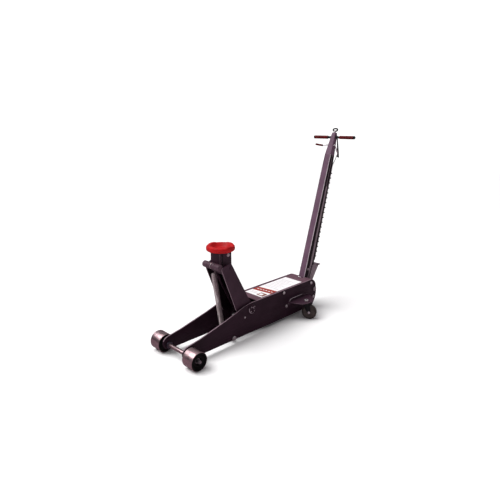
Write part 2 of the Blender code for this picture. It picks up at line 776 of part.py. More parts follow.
def caster(side, sign):
    """A swivelling wheel under a bracket that is welded to the side plate."""
    pin_x, pin_y = CASTER_PIN
    inner = PLATE_OUTER_X + GAP
    rim = [(inner, 0.852), (0.150, 0.868), (0.188, 0.892), (0.204, 0.925), (0.206, 0.975)]
    rim += [(0.192, 1.015), (0.150, 1.050), (inner, 1.075)]
    outline = [(sign * x, y) for x, y in rim]
    bracket = level_plate(
        f"caster_bracket_{side}", outline, CASTER_PLATE_Z, CASTER_PLATE_Z + CASTER_PLATE_T, "paint",
        [circle((sign * pin_x, pin_y), KINGPIN_R + GAP)],
    )
    flange_outline = [(0.855, 0.104), (0.862, 0.128)] + arc((0.884, 0.122), 0.020, 150, 90, 3)
    flange_outline += [(1.000, 0.142), (1.060, 0.130), (1.070, 0.104)]
    flange = side_plate(
        f"bracket_flange_{side}", flange_outline, sign * inner, sign * (inner + 0.005), "paint"
    )
    join(bracket, flange)
    turn = Matrix.Rotation(pi / 2 - sign * CASTER_HEADING, 4, "Z")
    pivot = place(sign * pin_x, pin_y, 0)
    fork = caster_fork(f"caster_fork_{side}", pivot, turn)
    centre = pivot + turn @ Vector((CASTER_TRAIL, 0, CASTER_WHEEL_R))
    half = CASTER_WHEEL_HALF
    bore = CASTER_BOLT_R + GAP
    hub = [
        (CASTER_WHEEL_R - 0.003, half), (CASTER_WHEEL_R, half - 0.003),
        (CASTER_WHEEL_R, 0.003 - half), (CASTER_WHEEL_R - 0.003, -half), (bore, -half), (bore, half),
    ]
    spin = turn @ Matrix.Rotation(-pi / 2, 4, "X")
    wheel = turned(f"caster_wheel_{side}", hub, centre, "Z", "iron", 28)
    wheel.matrix_world = Matrix.Translation(centre) @ spin
    end, shoulder, head = CASTER_BOLT_HALF, CASTER_BOLT_HALF - 0.0045, 0.009
    bolt = [(0, end), (head, end), (head, shoulder), (CASTER_BOLT_R, shoulder)]
    bolt += [(radius, -x) for radius, x in reversed(bolt)]
    pin = turned(f"caster_axle_{side}", bolt, centre, "Z", "steel", 14)
    pin.matrix_world = Matrix.Translation(centre) @ spin
    hang(pin, fork)


def caster_fork(name, pivot, turn):
    """The fork's crown, legs and kingpin, built with the trail along local X."""
    under, over = CASTER_PLATE_Z - GAP, CASTER_PLATE_Z + CASTER_PLATE_T + GAP
    crown_top = under - 0.002
    crown_half, crown_thickness = 0.018, 0.004
    leg_in, leg_out = 0.0150, 0.0187
    hub_at = (CASTER_TRAIL, CASTER_WHEEL_R)
    leg_outline = arc(hub_at, 0.012, 180, 360, 10)
    leg_outline += [(0.024, crown_top - 0.004), (crown_half, crown_top)]
    leg_outline += [(-crown_half, crown_top), (-0.024, crown_top - 0.006)]

    def crown_shape(shape):
        bmesh.ops.create_cube(shape, size=1)
        size = (2 * crown_half, 2 * leg_out, crown_thickness)
        bmesh.ops.scale(shape, vec=size, verts=shape.verts)

    crown = link(name, mesh_from(name, crown_shape))
    middle = Vector((0, 0, crown_top - crown_thickness / 2))
    crown.matrix_world = Matrix.Translation(pivot + middle) @ turn
    finish(crown, "steel")
    for way in (-1, 1):
        hole = circle(hub_at, CASTER_BOLT_R + GAP, 14)
        leg = flat(f"{name}_leg_{way}", leg_outline, leg_out - leg_in, [hole])
        aside = Matrix.Translation((0, way * (leg_in + leg_out) / 2, 0))
        stand_up = Matrix.Rotation(pi / 2, 4, "X")
        leg.matrix_world = Matrix.Translation(pivot) @ turn @ aside @ stand_up
        join(crown, finish(as_mesh(leg), "steel"))
    kingpin = [
        (0, over + 0.012), (0.013, over + 0.012), (0.013, over), (KINGPIN_R, over),
        (KINGPIN_R, under), (0.014, under), (0.014, crown_top - 0.003), (0, crown_top - 0.003),
    ]
    return join(crown, turned(f"{name}_kingpin", kingpin, pivot, "Z", "steel", 16))


# ---------------------------------------------------------------- handle
def handle_frame():
    """An empty on the pump pivot whose Z axis runs up along the leaning handle."""
    frame = axis_marker("handle_pivot_frame", place(0, *HANDLE_PIVOT))
    frame.rotation_euler = (-HANDLE_LEAN, 0, 0)
    return frame


def lean(obj, frame):
    """Hangs an object, built along the handle's own axes, on the pump pivot."""
    local = obj.matrix_world.copy()
    obj.parent = frame
    obj.matrix_parent_inverse = Matrix.Identity(4)
    obj.matrix_basis = local
    return obj


def handle_bar(name, radius, start, end, look, frame, sides=20):
    obj = cylinder(name, radius, Vector(start), Vector(end), look, sides)
    return lean(obj, frame)


def loft(name, low, high, z_low, z_high, look, frame, open_ends=False):
    """A four-sided taper between two rectangles (x half-width, y front, y rear)."""

    def build(shape):
        bmesh.ops.create_cube(shape, size=1)
        for vertex in shape.verts:
            half, front, rear = low if vertex.co.z < 0 else high
            x = half if vertex.co.x > 0 else -half
            y = rear if vertex.co.y > 0 else front
            z = z_low if vertex.co.z < 0 else z_high
            vertex.co = (x, y, z)
        if open_ends:
            shape.normal_update()
            ends = [face for face in shape.faces if abs(face.normal.z) > 0.9]
            bmesh.ops.delete(shape, geom=ends, context="FACES_ONLY")

    obj = link(name, mesh_from(name, build))
    return lean(finish(obj, look), frame)


def handle(frame):
    tube_low = (TUBE_HALF_X, -0.0545, 0.0350)
    tube_high = (TUBE_HALF_X, -0.0345, 0.0165)
    tube = loft("handle_tube", tube_low, tube_high, TUBE_BOTTOM, TUBE_TOP, "paint", frame, True)
    wall = tube.modifiers.new("wall", "SOLIDIFY")
    wall.thickness = TUBE_WALL
    wall.offset = -1
    wall.use_even_offset = True
    inside = TUBE_WALL + 0.0006

    socket = loft(
        "handle_socket", (TUBE_HALF_X - inside, -0.020, 0.020),
        (TUBE_HALF_X - inside, -0.0500 + inside, 0.0300 - inside), 0.0, 0.190, "paint", frame,
    )
    hub_bar = handle_bar("socket_hub", 0.024, (-0.030, 0, 0), (0.030, 0, 0), "paint", frame, 24)
    join(socket, hub_bar)
    lobe_angle = PUMP_CRANK_ANGLE - HANDLE_LEAN
    lobe_at = (-PUMP_CRANK * sin(lobe_angle), -PUMP_CRANK * cos(lobe_angle))
    lobe = handle_bar(
        "socket_lobe", PUMP_LOBE_R, (-0.012, *lobe_at), (0.012, *lobe_at), "paint", frame, 24
    )
    join(socket, lobe)
    bore_r = HANDLE_SHAFT_R + GAP
    bore = handle_bar("pivot_bore", bore_r, (-0.040, 0, 0), (0.040, 0, 0), "paint", frame, 20)
    rod_bore = handle_bar(
        "socket_rod_bore", RELEASE_ROD_R + GAP, (0, 0, 0.045), (0, 0, 0.250), "paint", frame, 14
    )
    cut(socket, bore, rod_bore)

    neck = loft(
        "handle_neck", (TUBE_HALF_X, -0.0340, 0.0160), (0.0185, -0.0190, 0.0140),
        TUBE_TOP + GAP, 1.0800, "paint", frame,
    )
    crown = loft(
        "neck_crown", (0.0185, -0.0190, 0.0140), (0.0150, -0.0130, 0.0120), 1.0795, 1.1280,
        "paint", frame,
    )
    join(neck, crown)
    rod_bore = handle_bar(
        "neck_rod_bore", RELEASE_ROD_R + GAP, (0, 0, 0.900), (0, 0, 1.200), "paint", frame, 14
    )
    shaft_bore = handle_bar(
        "neck_shaft_bore", LOCK_WIRE_R + GAP, (-0.050, *LOCK_SHAFT), (0.050, *LOCK_SHAFT),
        "paint", frame, 14,
    )
    bar_bore = handle_bar(
        "neck_bar_bore", T_BAR_R + GAP, (-0.050, 0, T_BAR_HEIGHT), (0.050, 0, T_BAR_HEIGHT),
        "paint", frame, 20,
    )
    cut(neck, rod_bore, shaft_bore, bar_bore)
    for side, sign in SIDES:
        handle_bar(
            f"t_bar_{side}", T_BAR_R, (sign * 0.0055, 0, T_BAR_HEIGHT),
            (sign * (T_BAR_REACH - 0.004), 0, T_BAR_HEIGHT), "black", frame,
        )
        profile = [
            (0, T_BAR_REACH), (GRIP_R - 0.002, T_BAR_REACH), (GRIP_R, T_BAR_REACH - 0.002),
            (GRIP_R, GRIP_START_X), (T_BAR_R + GAP, GRIP_START_X),
            (T_BAR_R + GAP, T_BAR_REACH - 0.004 + GAP), (0, T_BAR_REACH - 0.004 + GAP),
        ]
        if sign < 0:
            profile = [(radius, -x) for radius, x in reversed(profile)]
        lean(
            turned(f"grip_{side}", profile, Vector((0, 0, T_BAR_HEIGHT)), "X", "grip", 20), frame
        )
    release_control(frame)
    lock_control(frame)


def release_control(frame):
    """The finger ring on top and the long rod that turns the release valve."""
    handle_bar("release_rod", RELEASE_ROD_R, (0, 0, 0.050), (0, 0, 1.1330), "steel", frame, 16)
    steps, middle, half_width, half_height = 20, 1.1478, 0.0190, 0.0092
    turns = [2 * pi * step / steps for step in range(steps)]
    ring = [(half_width * cos(turn), 0, middle + half_height * sin(turn)) for turn in turns]
    lean(wire("release_knob", ring, 0.0052, "black", 1, closed=True), frame)


def lock_control(frame):
    """The lever under the left grip, and the rod that it pushes down behind the tube."""
    pivot = axis_marker("lock_pivot_frame", (0, *LOCK_SHAFT), frame)
    finger = (-0.027, -0.0095)
    path = [
        (-0.118, *finger), (-0.046, *finger), (-0.034, -0.018, -0.006), (-0.030, 0, 0),
        (0.030, 0, 0), (0.032, 0.014, -0.014), (0.032, 0.053, -0.051),
    ]
    lean(wire("lock_lever", path, LOCK_WIRE_R, "steel", 2), pivot)
    ring = tube_profile(0.0062, LOCK_WIRE_R + GAP, -0.117, -0.052)
    lean(turned("lock_lever_grip", ring, Vector((0, *finger)), "X", "grip", 16), pivot)
    rod_path = [
        (0.0215, 0.046, 0.9750), (0.0215, 0.044, 0.9500), (0.0180, 0.0255, 0.9050),
        (0.0180, 0.0425, 0.200),
    ]
    lean(wire("lock_rod", rod_path, 0.0030, "steel", 2), frame)
    brace_outline = [
        (0.0095, 1.0835), (0.0175, 1.0835), (0.0640, 0.9950), (0.0760, 0.9650), (0.0520, 0.9650),
    ]
    brace = flat("neck_brace", brace_outline, 0.004)
    brace.matrix_world = Matrix(
        ((0, 0, 1, 0.0245), (1, 0, 0, 0), (0, 1, 0, 0), (0, 0, 0, 1))
    )
    lean(finish(as_mesh(brace), "black"), frame)


def pump():
    """The pump plunger and the handle's pivot shaft."""
    headed_rod("handle_pivot_shaft", HANDLE_PIVOT, HANDLE_SHAFT_R, 0.017, 0.006, "steel")
    crank_z = HANDLE_PIVOT[1] - PUMP_CRANK * cos(PUMP_CRANK_ANGLE)
    tip = HANDLE_PIVOT[0] - PUMP_TRAVEL_PER_RADIAN * PUMP_CRANK_ANGLE - PUMP_LOBE_R - PUMP_CLEARANCE
    cylinder(
        "pump_plunger", PLUNGER_R, place(0, tip - 0.105, crank_z), place(0, tip, crank_z),
        "bright", 20,
    )


def handle_yoke(frame):
    """The forked cheek piece on the handle's shaft, with a foot tread at the back."""
    outline = arc(HANDLE_PIVOT, 0.022, 100, 350, 10)
    outline += [(1.262, 0.283), (1.268, 0.296), (1.205, 0.302), (1.192, 0.288)]
    tread = box("handle_yoke", (-0.046, 1.238, 0.2865), (0.046, 1.276, 0.2925), "paint", 0.001)
    for side, sign in SIDES:
        cheek = side_plate(
            f"yoke_cheek_{side}", outline, sign * 0.0325, sign * 0.0385, "paint",
            [circle(HANDLE_PIVOT, HANDLE_SHAFT_R + GAP)],
        )
        join(tread, cheek)
    hang(tread, frame)


def build_jack():
    chassis()
    power_unit()
    lift_arm()
    ram()
    leveling_links()
    head()
    saddle()
    return_spring()
    front_wheels()
    for side, sign in SIDES:
        caster(side, sign)
    frame = handle_frame()
    handle(frame)
    handle_yoke(frame)
    pump()


build_jack()
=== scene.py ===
from math import cos, pi, radians, sin

import bmesh
import bpy
from mathutils import Matrix, Vector, noise
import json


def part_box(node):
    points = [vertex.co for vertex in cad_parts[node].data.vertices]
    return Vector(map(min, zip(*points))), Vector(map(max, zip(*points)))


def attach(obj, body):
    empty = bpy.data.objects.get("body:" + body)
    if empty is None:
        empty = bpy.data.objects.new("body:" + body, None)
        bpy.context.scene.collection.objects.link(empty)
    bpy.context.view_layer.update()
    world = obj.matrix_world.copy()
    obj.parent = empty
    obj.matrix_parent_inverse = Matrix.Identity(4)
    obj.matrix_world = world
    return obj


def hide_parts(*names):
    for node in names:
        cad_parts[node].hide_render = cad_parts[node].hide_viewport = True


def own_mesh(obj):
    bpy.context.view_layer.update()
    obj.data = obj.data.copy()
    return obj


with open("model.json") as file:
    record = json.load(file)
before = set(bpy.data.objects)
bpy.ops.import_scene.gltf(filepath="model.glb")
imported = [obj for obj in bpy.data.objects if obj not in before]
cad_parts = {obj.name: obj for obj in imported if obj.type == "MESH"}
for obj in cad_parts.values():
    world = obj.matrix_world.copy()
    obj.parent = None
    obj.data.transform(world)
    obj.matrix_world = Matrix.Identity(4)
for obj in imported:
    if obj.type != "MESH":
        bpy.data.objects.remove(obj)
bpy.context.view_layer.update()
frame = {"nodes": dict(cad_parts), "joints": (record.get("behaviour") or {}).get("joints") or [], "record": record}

# ---- places read from the frame
RECORD = frame["record"]
JOINTS = {joint["name"]: joint for joint in frame["joints"]}
BODY_OF = {
    node: body for body, nodes in RECORD["behaviour"]["bodies"].items() for node in nodes
}
SIDES = (("left", -1), ("right", 1))
LIFT = 0.0003


def middle_of(node):
    low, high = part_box(node)
    return (Vector(low) + Vector(high)) / 2


def size_of(node):
    low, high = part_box(node)
    return Vector(high) - Vector(low)


def place_of(joint):
    return Vector(JOINTS[joint]["pos_m"])


HANDLE_PIVOT = place_of("handle_pump")
HANDLE_UP = Vector(JOINTS["release_turn"]["axis"]).normalized()
HANDLE_BACK = HANDLE_UP.cross(Vector((1, 0, 0)))
ARM_PIVOT = place_of("arm_lift")
HEAD_PIN = place_of("head_level")
SADDLE_AXIS = place_of("saddle_spin")
SPRING_FOOT = place_of("spring_swing")
CROSS_BAR = middle_of("arm_cross_bar")

HANDLE_TURN = Matrix(((1, 0, 0), HANDLE_BACK, HANDLE_UP)).transposed().to_4x4()
HANDLE_FRAME = Matrix.Translation(HANDLE_PIVOT) @ HANDLE_TURN
UPRIGHT = Matrix.Identity(4)
ACROSS = Matrix.Rotation(pi / 2, 4, "Y")


def pointing(direction):
    """The rotation that turns Z to a direction."""
    return Vector(direction).to_track_quat("Z", "Y").to_matrix().to_4x4()


def shift(point):
    return Matrix.Translation(point)


def outward(point, sign):
    """The place of something that stands on a point and faces out to the left or right."""
    return shift(point) @ pointing((sign, 0, 0))


# ---- materials
class Graph:
    """Short ways to add and join the nodes of a shader."""

    def __init__(self, owner):
        owner.use_nodes = True
        self.tree = owner.node_tree

    def node(self, kind, **values):
        """A new node with values on its inputs, whose names have _ in place of a space."""
        made = self.tree.nodes.new(f"ShaderNode{kind}")
        for name, value in values.items():
            made.inputs[name.replace("_", " ")].default_value = value
        return made

    def join(self, start, end):
        self.tree.links.new(start, end)

    def ramp(self, factor, *stops):
        """A colour ramp between two stops. Each is (position, colour)."""
        made = self.node("ValToRGB")
        for element, (position, colour) in zip(made.color_ramp.elements, stops):
            element.position = position
            element.color = (*colour, 1)
        self.join(factor, made.inputs["Fac"])
        return made.outputs["Color"]

    def choose(self, factor, first, second, output):
        """Shows the first shader where the factor is 0, and the second where it is 1."""
        choice = self.node("MixShader")
        for start, end in zip((factor, first, second), choice.inputs):
            self.join(start, end)
        self.join(choice.outputs["Shader"], self.tree.nodes[output].inputs["Surface"])


class Surface(Graph):
    """A Principled material that is built up with procedural nodes."""

    def __init__(self, name, colour, roughness, metallic=0.0, specular=0.5):
        self.material = bpy.data.materials.new(name)
        super().__init__(self.material)
        self.shader = self.tree.nodes["Principled BSDF"]
        for socket, value in (
            ("Base Color", (*colour, 1)), ("Roughness", roughness), ("Metallic", metallic),
            ("Specular IOR Level", specular),
        ):
            self.shader.inputs[socket].default_value = value
        self.place = self.node("TexCoord").outputs["Object"]

    def noise(self, scale, detail, rough=0.5):
        """A noise from 0 to 1, with its scale in metres."""
        made = self.node("TexNoise", Scale=scale, Detail=detail, Roughness=rough)
        self.join(self.place, made.inputs["Vector"])
        return made.outputs["Fac"]

    def mottled(self, factor, colour, dark, light):
        """The colour in patches from dark to light. Each is (position, shade of the colour)."""
        return self.ramp(factor, *((position, shade(colour, much)) for position, much in (dark, light)))

    def span(self, factor, low, high, start, end):
        """The factor from start to end, mapped to a number from low to high."""
        made = self.node("MapRange", From_Min=start, From_Max=end, To_Min=low, To_Max=high)
        self.join(factor, made.inputs["Value"])
        return made.outputs["Result"]

    def blend(self, factor, first, second):
        """A mix of two colours. Each is a socket or a plain colour."""
        made = self.node("Mix")
        made.data_type = "RGBA"
        self.join(factor, made.inputs["Factor"])
        for value, socket in ((first, made.inputs["A"]), (second, made.inputs["B"])):
            if isinstance(value, tuple):
                socket.default_value = (*value, 1)
            else:
                self.join(value, socket)
        return made.outputs["Result"]

    def edges(self, radius):
        """1 on the sharp edges and 0 on the flats, broken up by a noise."""
        rounded = self.node("Bevel", Radius=radius)
        rounded.samples = 4
        dot = self.node("VectorMath")
        dot.operation = "DOT_PRODUCT"
        self.join(rounded.outputs["Normal"], dot.inputs[0])
        self.join(self.node("NewGeometry").outputs["Normal"], dot.inputs[1])
        both = self.node("Math")
        both.operation = "MULTIPLY"
        self.join(self.span(dot.outputs["Value"], 1.0, 0.0, 0.80, 0.985), both.inputs[0])
        self.join(self.span(self.noise(60, 5), 0.0, 1.0, 0.42, 0.62), both.inputs[1])
        return both.outputs["Value"]

    def tint(self, socket):
        self.join(socket, self.shader.inputs["Base Color"])

    def rough(self, factor, low, high):
        """Roughness from low to high as the factor goes through its middle range."""
        self.join(self.span(factor, low, high, 0.3, 0.7), self.shader.inputs["Roughness"])

    def bump(self, height, strength, distance):
        made = self.node("Bump", Strength=strength, Distance=distance)
        self.join(height, made.inputs["Height"])
        self.join(made.outputs["Normal"], self.shader.inputs["Normal"])


def shade(colour, amount):
    return tuple(min(1.0, channel * amount) for channel in colour)


def enamel(name, colour, roughness, wear=(0.30, 0.25, 0.27)):
    """Sprayed paint: slow patches, a fine orange peel, dust on the flats and worn edges."""
    made = Surface(name, colour, roughness, specular=0.15)
    base = made.mottled(made.noise(7, 6, 0.6), colour, (0.25, 0.72), (0.75, 1.30))
    grime = made.span(made.noise(28, 8, 0.7), 0.0, 0.55, 0.50, 0.78)
    base = made.blend(grime, base, shade(colour, 0.45))
    made.tint(made.blend(made.edges(0.0016), base, wear))
    made.rough(made.noise(22, 5), roughness - 0.09, roughness + 0.13)
    made.bump(made.noise(650, 3), 0.10, 0.0004)
    return made.material


def turned_metal(name, colour, roughness, grime):
    """Bare machined steel with fine tool marks around X and faint tarnish."""
    made = Surface(name, colour, roughness, 1.0)
    pitch = 0.0016
    marks = made.node(
        "TexWave", Scale=2 * pi / (20 * pitch), Distortion=1.2, Detail=2.0, Detail_Scale=0.6
    )
    marks.bands_direction = "X"
    made.join(made.place, marks.inputs["Vector"])
    tarnish = made.span(made.noise(45, 8, 0.65), 0.0, 0.6, 0.52, 0.75)
    tone = made.mottled(made.noise(12, 3), colour, (0.3, 0.86), (0.7, 1.08))
    made.tint(made.blend(tarnish, tone, grime))
    made.rough(made.noise(30, 6), roughness - 0.07, roughness + 0.12)
    made.bump(marks.outputs["Fac"], 0.12, 0.0002)
    return made.material


def plain_metal(name, colour, roughness, spots=(0.22, 0.20, 0.20)):
    """Plated or ground steel with small dull spots."""
    made = Surface(name, colour, roughness, 1.0)
    cloudy = made.mottled(made.noise(35, 6), colour, (0.3, 0.80), (0.7, 1.1))
    dull = made.span(made.noise(140, 6, 0.7), 0.0, 0.7, 0.56, 0.72)
    made.tint(made.blend(dull, cloudy, spots))
    made.rough(made.noise(80, 4), roughness - 0.05, roughness + 0.15)
    made.bump(made.noise(500, 2), 0.08, 0.0002)
    return made.material


def cast_coat(name, colour, roughness, wear, specular=0.25):
    """Paint over a rough casting, chipped on its high edges."""
    made = Surface(name, colour, roughness, specular=specular)
    tone = made.mottled(made.noise(24, 6), colour, (0.3, 0.72), (0.72, 1.22))
    scuffs = made.span(made.noise(75, 8, 0.75), 0.0, 0.7, 0.60, 0.72)
    tone = made.blend(scuffs, tone, shade(colour, 0.40))
    made.tint(made.blend(made.edges(0.0014), tone, wear))
    made.rough(made.noise(60, 5), roughness - 0.08, roughness + 0.15)
    made.bump(made.noise(220, 6, 0.65), 0.35, 0.0007)
    return made.material


def soft_plastic(name, colour, roughness):
    """A dipped or moulded grip with a fine leathery grain and worn patches."""
    made = Surface(name, colour, roughness, specular=0.12)
    grain = made.node("TexVoronoi", Scale=900)
    made.join(made.place, grain.inputs["Vector"])
    made.tint(made.mottled(made.noise(40, 5), colour, (0.3, 0.70), (0.7, 1.30)))
    made.rough(made.noise(55, 5), roughness - 0.10, roughness + 0.12)
    made.bump(grain.outputs["Distance"], 0.25, 0.0003)
    return made.material


def printed(name, colour):
    """Vinyl label stock, a little soiled and glossy."""
    made = Surface(name, colour, 0.38, specular=0.45)
    soil = made.span(made.noise(18, 8, 0.65), 0.0, 0.35, 0.50, 0.80)
    made.tint(made.blend(soil, colour, shade(colour, 0.72)))
    made.rough(made.noise(40, 4), 0.30, 0.52)
    made.bump(made.noise(160, 2), 0.05, 0.0002)
    return made.material


CHARCOAL = (0.022, 0.0075, 0.0155)
LOOK = {
    "paint": enamel("charcoal_enamel", CHARCOAL, 0.42),
    "arm_paint": enamel("charcoal_enamel_arm", (0.042, 0.018, 0.031), 0.46),
    "handle_paint": enamel("charcoal_enamel_handle", (0.125, 0.068, 0.105), 0.40),
    # Painted shade: a darker copy of the charcoal enamel for faces and strips that stand in shadow.
    "shadow_paint": enamel("charcoal_enamel_painted_shade", shade(CHARCOAL, 0.4), 0.5),
    # Painted highlight: a lighter enamel for faces that turn up or to the front, where the light falls on them.
    "lit_edge_paint": enamel("charcoal_enamel_lit_edge", (0.20, 0.135, 0.165), 0.38),
    # Painted highlight: a bright enamel for the lower front chamfer of the pivot caps.
    "cap_highlight_paint": enamel("charcoal_enamel_cap_highlight", (0.30, 0.225, 0.265), 0.36),
    # Painted highlight: a near-white enamel for thin edges that catch the light.
    "highlight_paint": enamel("charcoal_enamel_painted_highlight", (0.62, 0.54, 0.58), 0.36),
    "strip_paint": enamel("stiffener_enamel", (0.21, 0.155, 0.180), 0.42),
    "bar_paint": enamel("cross_tube_enamel", (0.075, 0.040, 0.056), 0.44),
    "cover_paint": enamel("cover_enamel", (0.120, 0.062, 0.082), 0.44),
    "turned": turned_metal(
        "turned_steel_across", (0.39, 0.275, 0.295), 0.28, (0.10, 0.07, 0.07)
    ),
    "bolt": plain_metal("bolt_steel", (0.80, 0.77, 0.78), 0.36),
    "pin_steel": plain_metal("pin_steel", (0.50, 0.47, 0.48), 0.30),
    "zinc": plain_metal("zinc_plate", (0.30, 0.28, 0.30), 0.36),
    "bluish": plain_metal("collar_steel", (0.13, 0.12, 0.16), 0.38),
    "chrome": plain_metal("ground_rod", (0.74, 0.72, 0.73), 0.14),
    "spring": plain_metal("spring_wire", (0.66, 0.57, 0.58), 0.40, (0.10, 0.08, 0.08)),
    "black": enamel("satin_black", (0.010, 0.009, 0.011), 0.40, (0.10, 0.09, 0.09)),
    "wheel_face": cast_coat(
        "wheel_face_black", (0.004, 0.004, 0.004), 0.50, (0.03, 0.03, 0.03), 0.12
    ),
    "red": cast_coat("saddle_red", (0.42, 0.006, 0.008), 0.42, (0.28, 0.06, 0.05), 0.12),
    "grip": soft_plastic("grip_red", (0.100, 0.004, 0.005), 0.42),
    "cap": soft_plastic("cap_black", (0.006, 0.005, 0.007), 0.40),
    "tyre": cast_coat("caster_tread", (0.034, 0.025, 0.022), 0.55, (0.11, 0.09, 0.08)),
    "hub": cast_coat("caster_hub", (0.068, 0.050, 0.046), 0.50, (0.18, 0.15, 0.14)),
    "white": printed("label_white", (0.86, 0.84, 0.85)),
    "band": printed("label_red", (0.30, 0.026, 0.012)),
    "brown": printed("label_brown", (0.20, 0.06, 0.035)),
    "grey_ink": printed("label_grey", (0.55, 0.50, 0.52)),
}


# ---- piece helpers
def placed(name, data, location=(0, 0, 0), rotation=(0, 0, 0)):
    """Adds an object to the scene."""
    obj = bpy.data.objects.new(name, data)
    obj.location = location
    obj.rotation_euler = rotation
    bpy.context.scene.collection.objects.link(obj)
    return obj


def mesh_of(name, shape):
    bmesh.ops.recalc_face_normals(shape, faces=shape.faces)
    mesh = bpy.data.meshes.new(name)
    shape.to_mesh(mesh)
    shape.free()
    return mesh


def new_piece(name, shape, look, body=None, node=None, sharp=35):
    """Turns a bmesh into a piece. It rides a body, or stands for a CAD node and rides as it does."""
    mesh = mesh_of(name, shape)
    obj = placed(name, mesh)
    mesh.materials.append(LOOK[look])
    mesh.shade_smooth()
    mesh.set_sharp_from_angle(angle=radians(sharp))
    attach(obj, body or BODY_OF[node])
    if node:
        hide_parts(node)
    return obj


def repaint(piece, look, picked):
    """Gives a second look to the faces of a piece that a test picks."""
    mesh = piece.data
    mesh.materials.append(LOOK[look])
    slot = len(mesh.materials) - 1
    for face in mesh.polygons:
        if picked(face.normal, face.center):
            face.material_index = slot


def moved(shape, matrix):
    bmesh.ops.transform(shape, matrix=matrix, verts=shape.verts)
    return shape


def merge(*shapes):
    """One bmesh that holds all of the given ones, which are freed."""
    whole = shapes[0]
    for other in shapes[1:]:
        mesh = bpy.data.meshes.new("joined")
        other.to_mesh(mesh)
        other.free()
        whole.from_mesh(mesh)
        bpy.data.meshes.remove(mesh)
    return whole


def round_edges(shape, width, segments=2):
    """Rounds every edge of the shape that turns by more than 40 degrees."""
    shape.normal_update()
    sharp = [
        edge for edge in shape.edges
        if len(edge.link_faces) == 2 and edge.calc_face_angle(0) > radians(40)
    ]
    bmesh.ops.bevel(
        shape, geom=sharp, offset=width, offset_type="OFFSET", segments=segments,
        profile=0.5, affect="EDGES", clamp_overlap=False,
    )


def refined(node, look, width=0.0008, segments=2):
    """The CAD node's own shape with rounded edges and a finished material."""
    shape = bmesh.new()
    shape.from_mesh(frame["nodes"][node].data)
    bmesh.ops.remove_doubles(shape, verts=shape.verts, dist=0.00001)
    bmesh.ops.dissolve_limit(
        shape, angle_limit=radians(0.6), verts=shape.verts, edges=shape.edges, delimit=set()
    )
    round_edges(shape, width, segments)
    return new_piece(f"{node}_finished", shape, look, node=node)


def bridge(shape, first, second):
    """The faces between two rings of vertices. Either ring may be a single point."""
    sides = max(len(first), len(second))
    for side in range(sides):
        after = (side + 1) % sides
        corners = [first[side % len(first)], first[after % len(first)]]
        corners += [second[after % len(second)], second[side % len(second)]]
        corners = list(dict.fromkeys(corners))
        if len(corners) > 2:
            shape.faces.new(corners)


def lathe_shape(profile, sides):
    """A turned solid about Z from (radius, height) pairs. An end off the axis closes to a ring."""
    shape = bmesh.new()
    turns = [2 * pi * side / sides for side in range(sides)]
    rings = []
    for radius, height in profile:
        around = turns if radius else [0]
        rings.append([shape.verts.new((radius * cos(t), radius * sin(t), height)) for t in around])
    pairs = list(zip(rings, rings[1:]))
    if profile[0][0] or profile[-1][0]:
        pairs.append((rings[-1], rings[0]))
    for first, second in pairs:
        bridge(shape, first, second)
    return shape


def round_corner(corner, back, ahead, radius, steps):
    """Points that round a corner, given the runs that lead back and ahead from it."""
    reach = min(radius, back.length * 0.45, ahead.length * 0.45)
    start = corner + back.normalized() * reach
    end = corner + ahead.normalized() * reach
    shares = [step / steps for step in range(steps + 1)]
    return [start.lerp(corner, s).lerp(corner.lerp(end, s), s) for s in shares]


def rounded_profile(profile, radius, steps=3):
    """The profile with its corners rounded, but for those on the axis and the slightest."""
    shortest, straight = 0.00011, radians(165)
    points = [profile[0]]
    for before, here, after in zip(profile, profile[1:], profile[2:]):
        corner = Vector(here)
        back, ahead = Vector(before) - corner, Vector(after) - corner
        if here[0] == 0 or min(back.length, ahead.length) < shortest or back.angle(ahead) > straight:
            points.append(here)
        else:
            points += [tuple(spot) for spot in round_corner(corner, back, ahead, radius, steps)]
    points.append(profile[-1])
    return points


def turned(profile, rounding, sides):
    return lathe_shape(rounded_profile(profile, rounding), sides)


def lathe(
    name, profile, middle, look, body=None, node=None, sides=64, rounding=0.0008, turn=ACROSS
):
    """A turned piece. Its axis lies along X unless it is turned another way."""
    shape = moved(turned(profile, rounding, sides), shift(middle) @ turn)
    new_piece(name, shape, look, body, node)


def mirrored(half):
    """A profile along an axis that is the same on both sides of its middle."""
    return half + [(radius, -height) for radius, height in reversed(half)]


def box_shape(low, high, rounding=0.0006):
    shape = bmesh.new()
    bmesh.ops.create_cube(shape, size=1)
    low, high = Vector(low), Vector(high)
    bmesh.ops.scale(shape, vec=high - low, verts=shape.verts)
    bmesh.ops.translate(shape, vec=(low + high) / 2, verts=shape.verts)
    if rounding:
        round_edges(shape, rounding)
    return shape


def prism_shape(outline, low, high, rounding=0.0006):
    """A plate with the given (u, v) outline, between two heights on local Z."""
    shape = bmesh.new()
    rings = [[shape.verts.new((u, v, height)) for u, v in outline] for height in (low, high)]
    bridge(shape, *rings)
    for ring in rings:
        shape.faces.new(ring)
    bmesh.ops.recalc_face_normals(shape, faces=shape.faces)
    if rounding:
        round_edges(shape, rounding)
    return shape


def hex_shape(across, height, washer=None):
    """A hexagon head that stands on z = 0, with a chamfered top and a washer under it."""
    radius = across / 2 / cos(pi / 6)
    outline = [(radius * cos(side * pi / 3), radius * sin(side * pi / 3)) for side in range(6)]
    crown = [
        (0, height + 0.0006), (across * 0.40, height + 0.0006), (across * 0.47, height - 0.001),
        (0, height - 0.001),
    ]
    head = prism_shape(outline, 0.0012 if washer else 0, height, 0.0005)
    shapes = [head, turned(crown, 0.0004, 24)]
    if washer:
        ring = [(0, 0.0014), (washer, 0.0014), (washer, 0), (0, 0)]
        shapes.append(turned(ring, 0.0004, 32))
    return merge(*shapes)


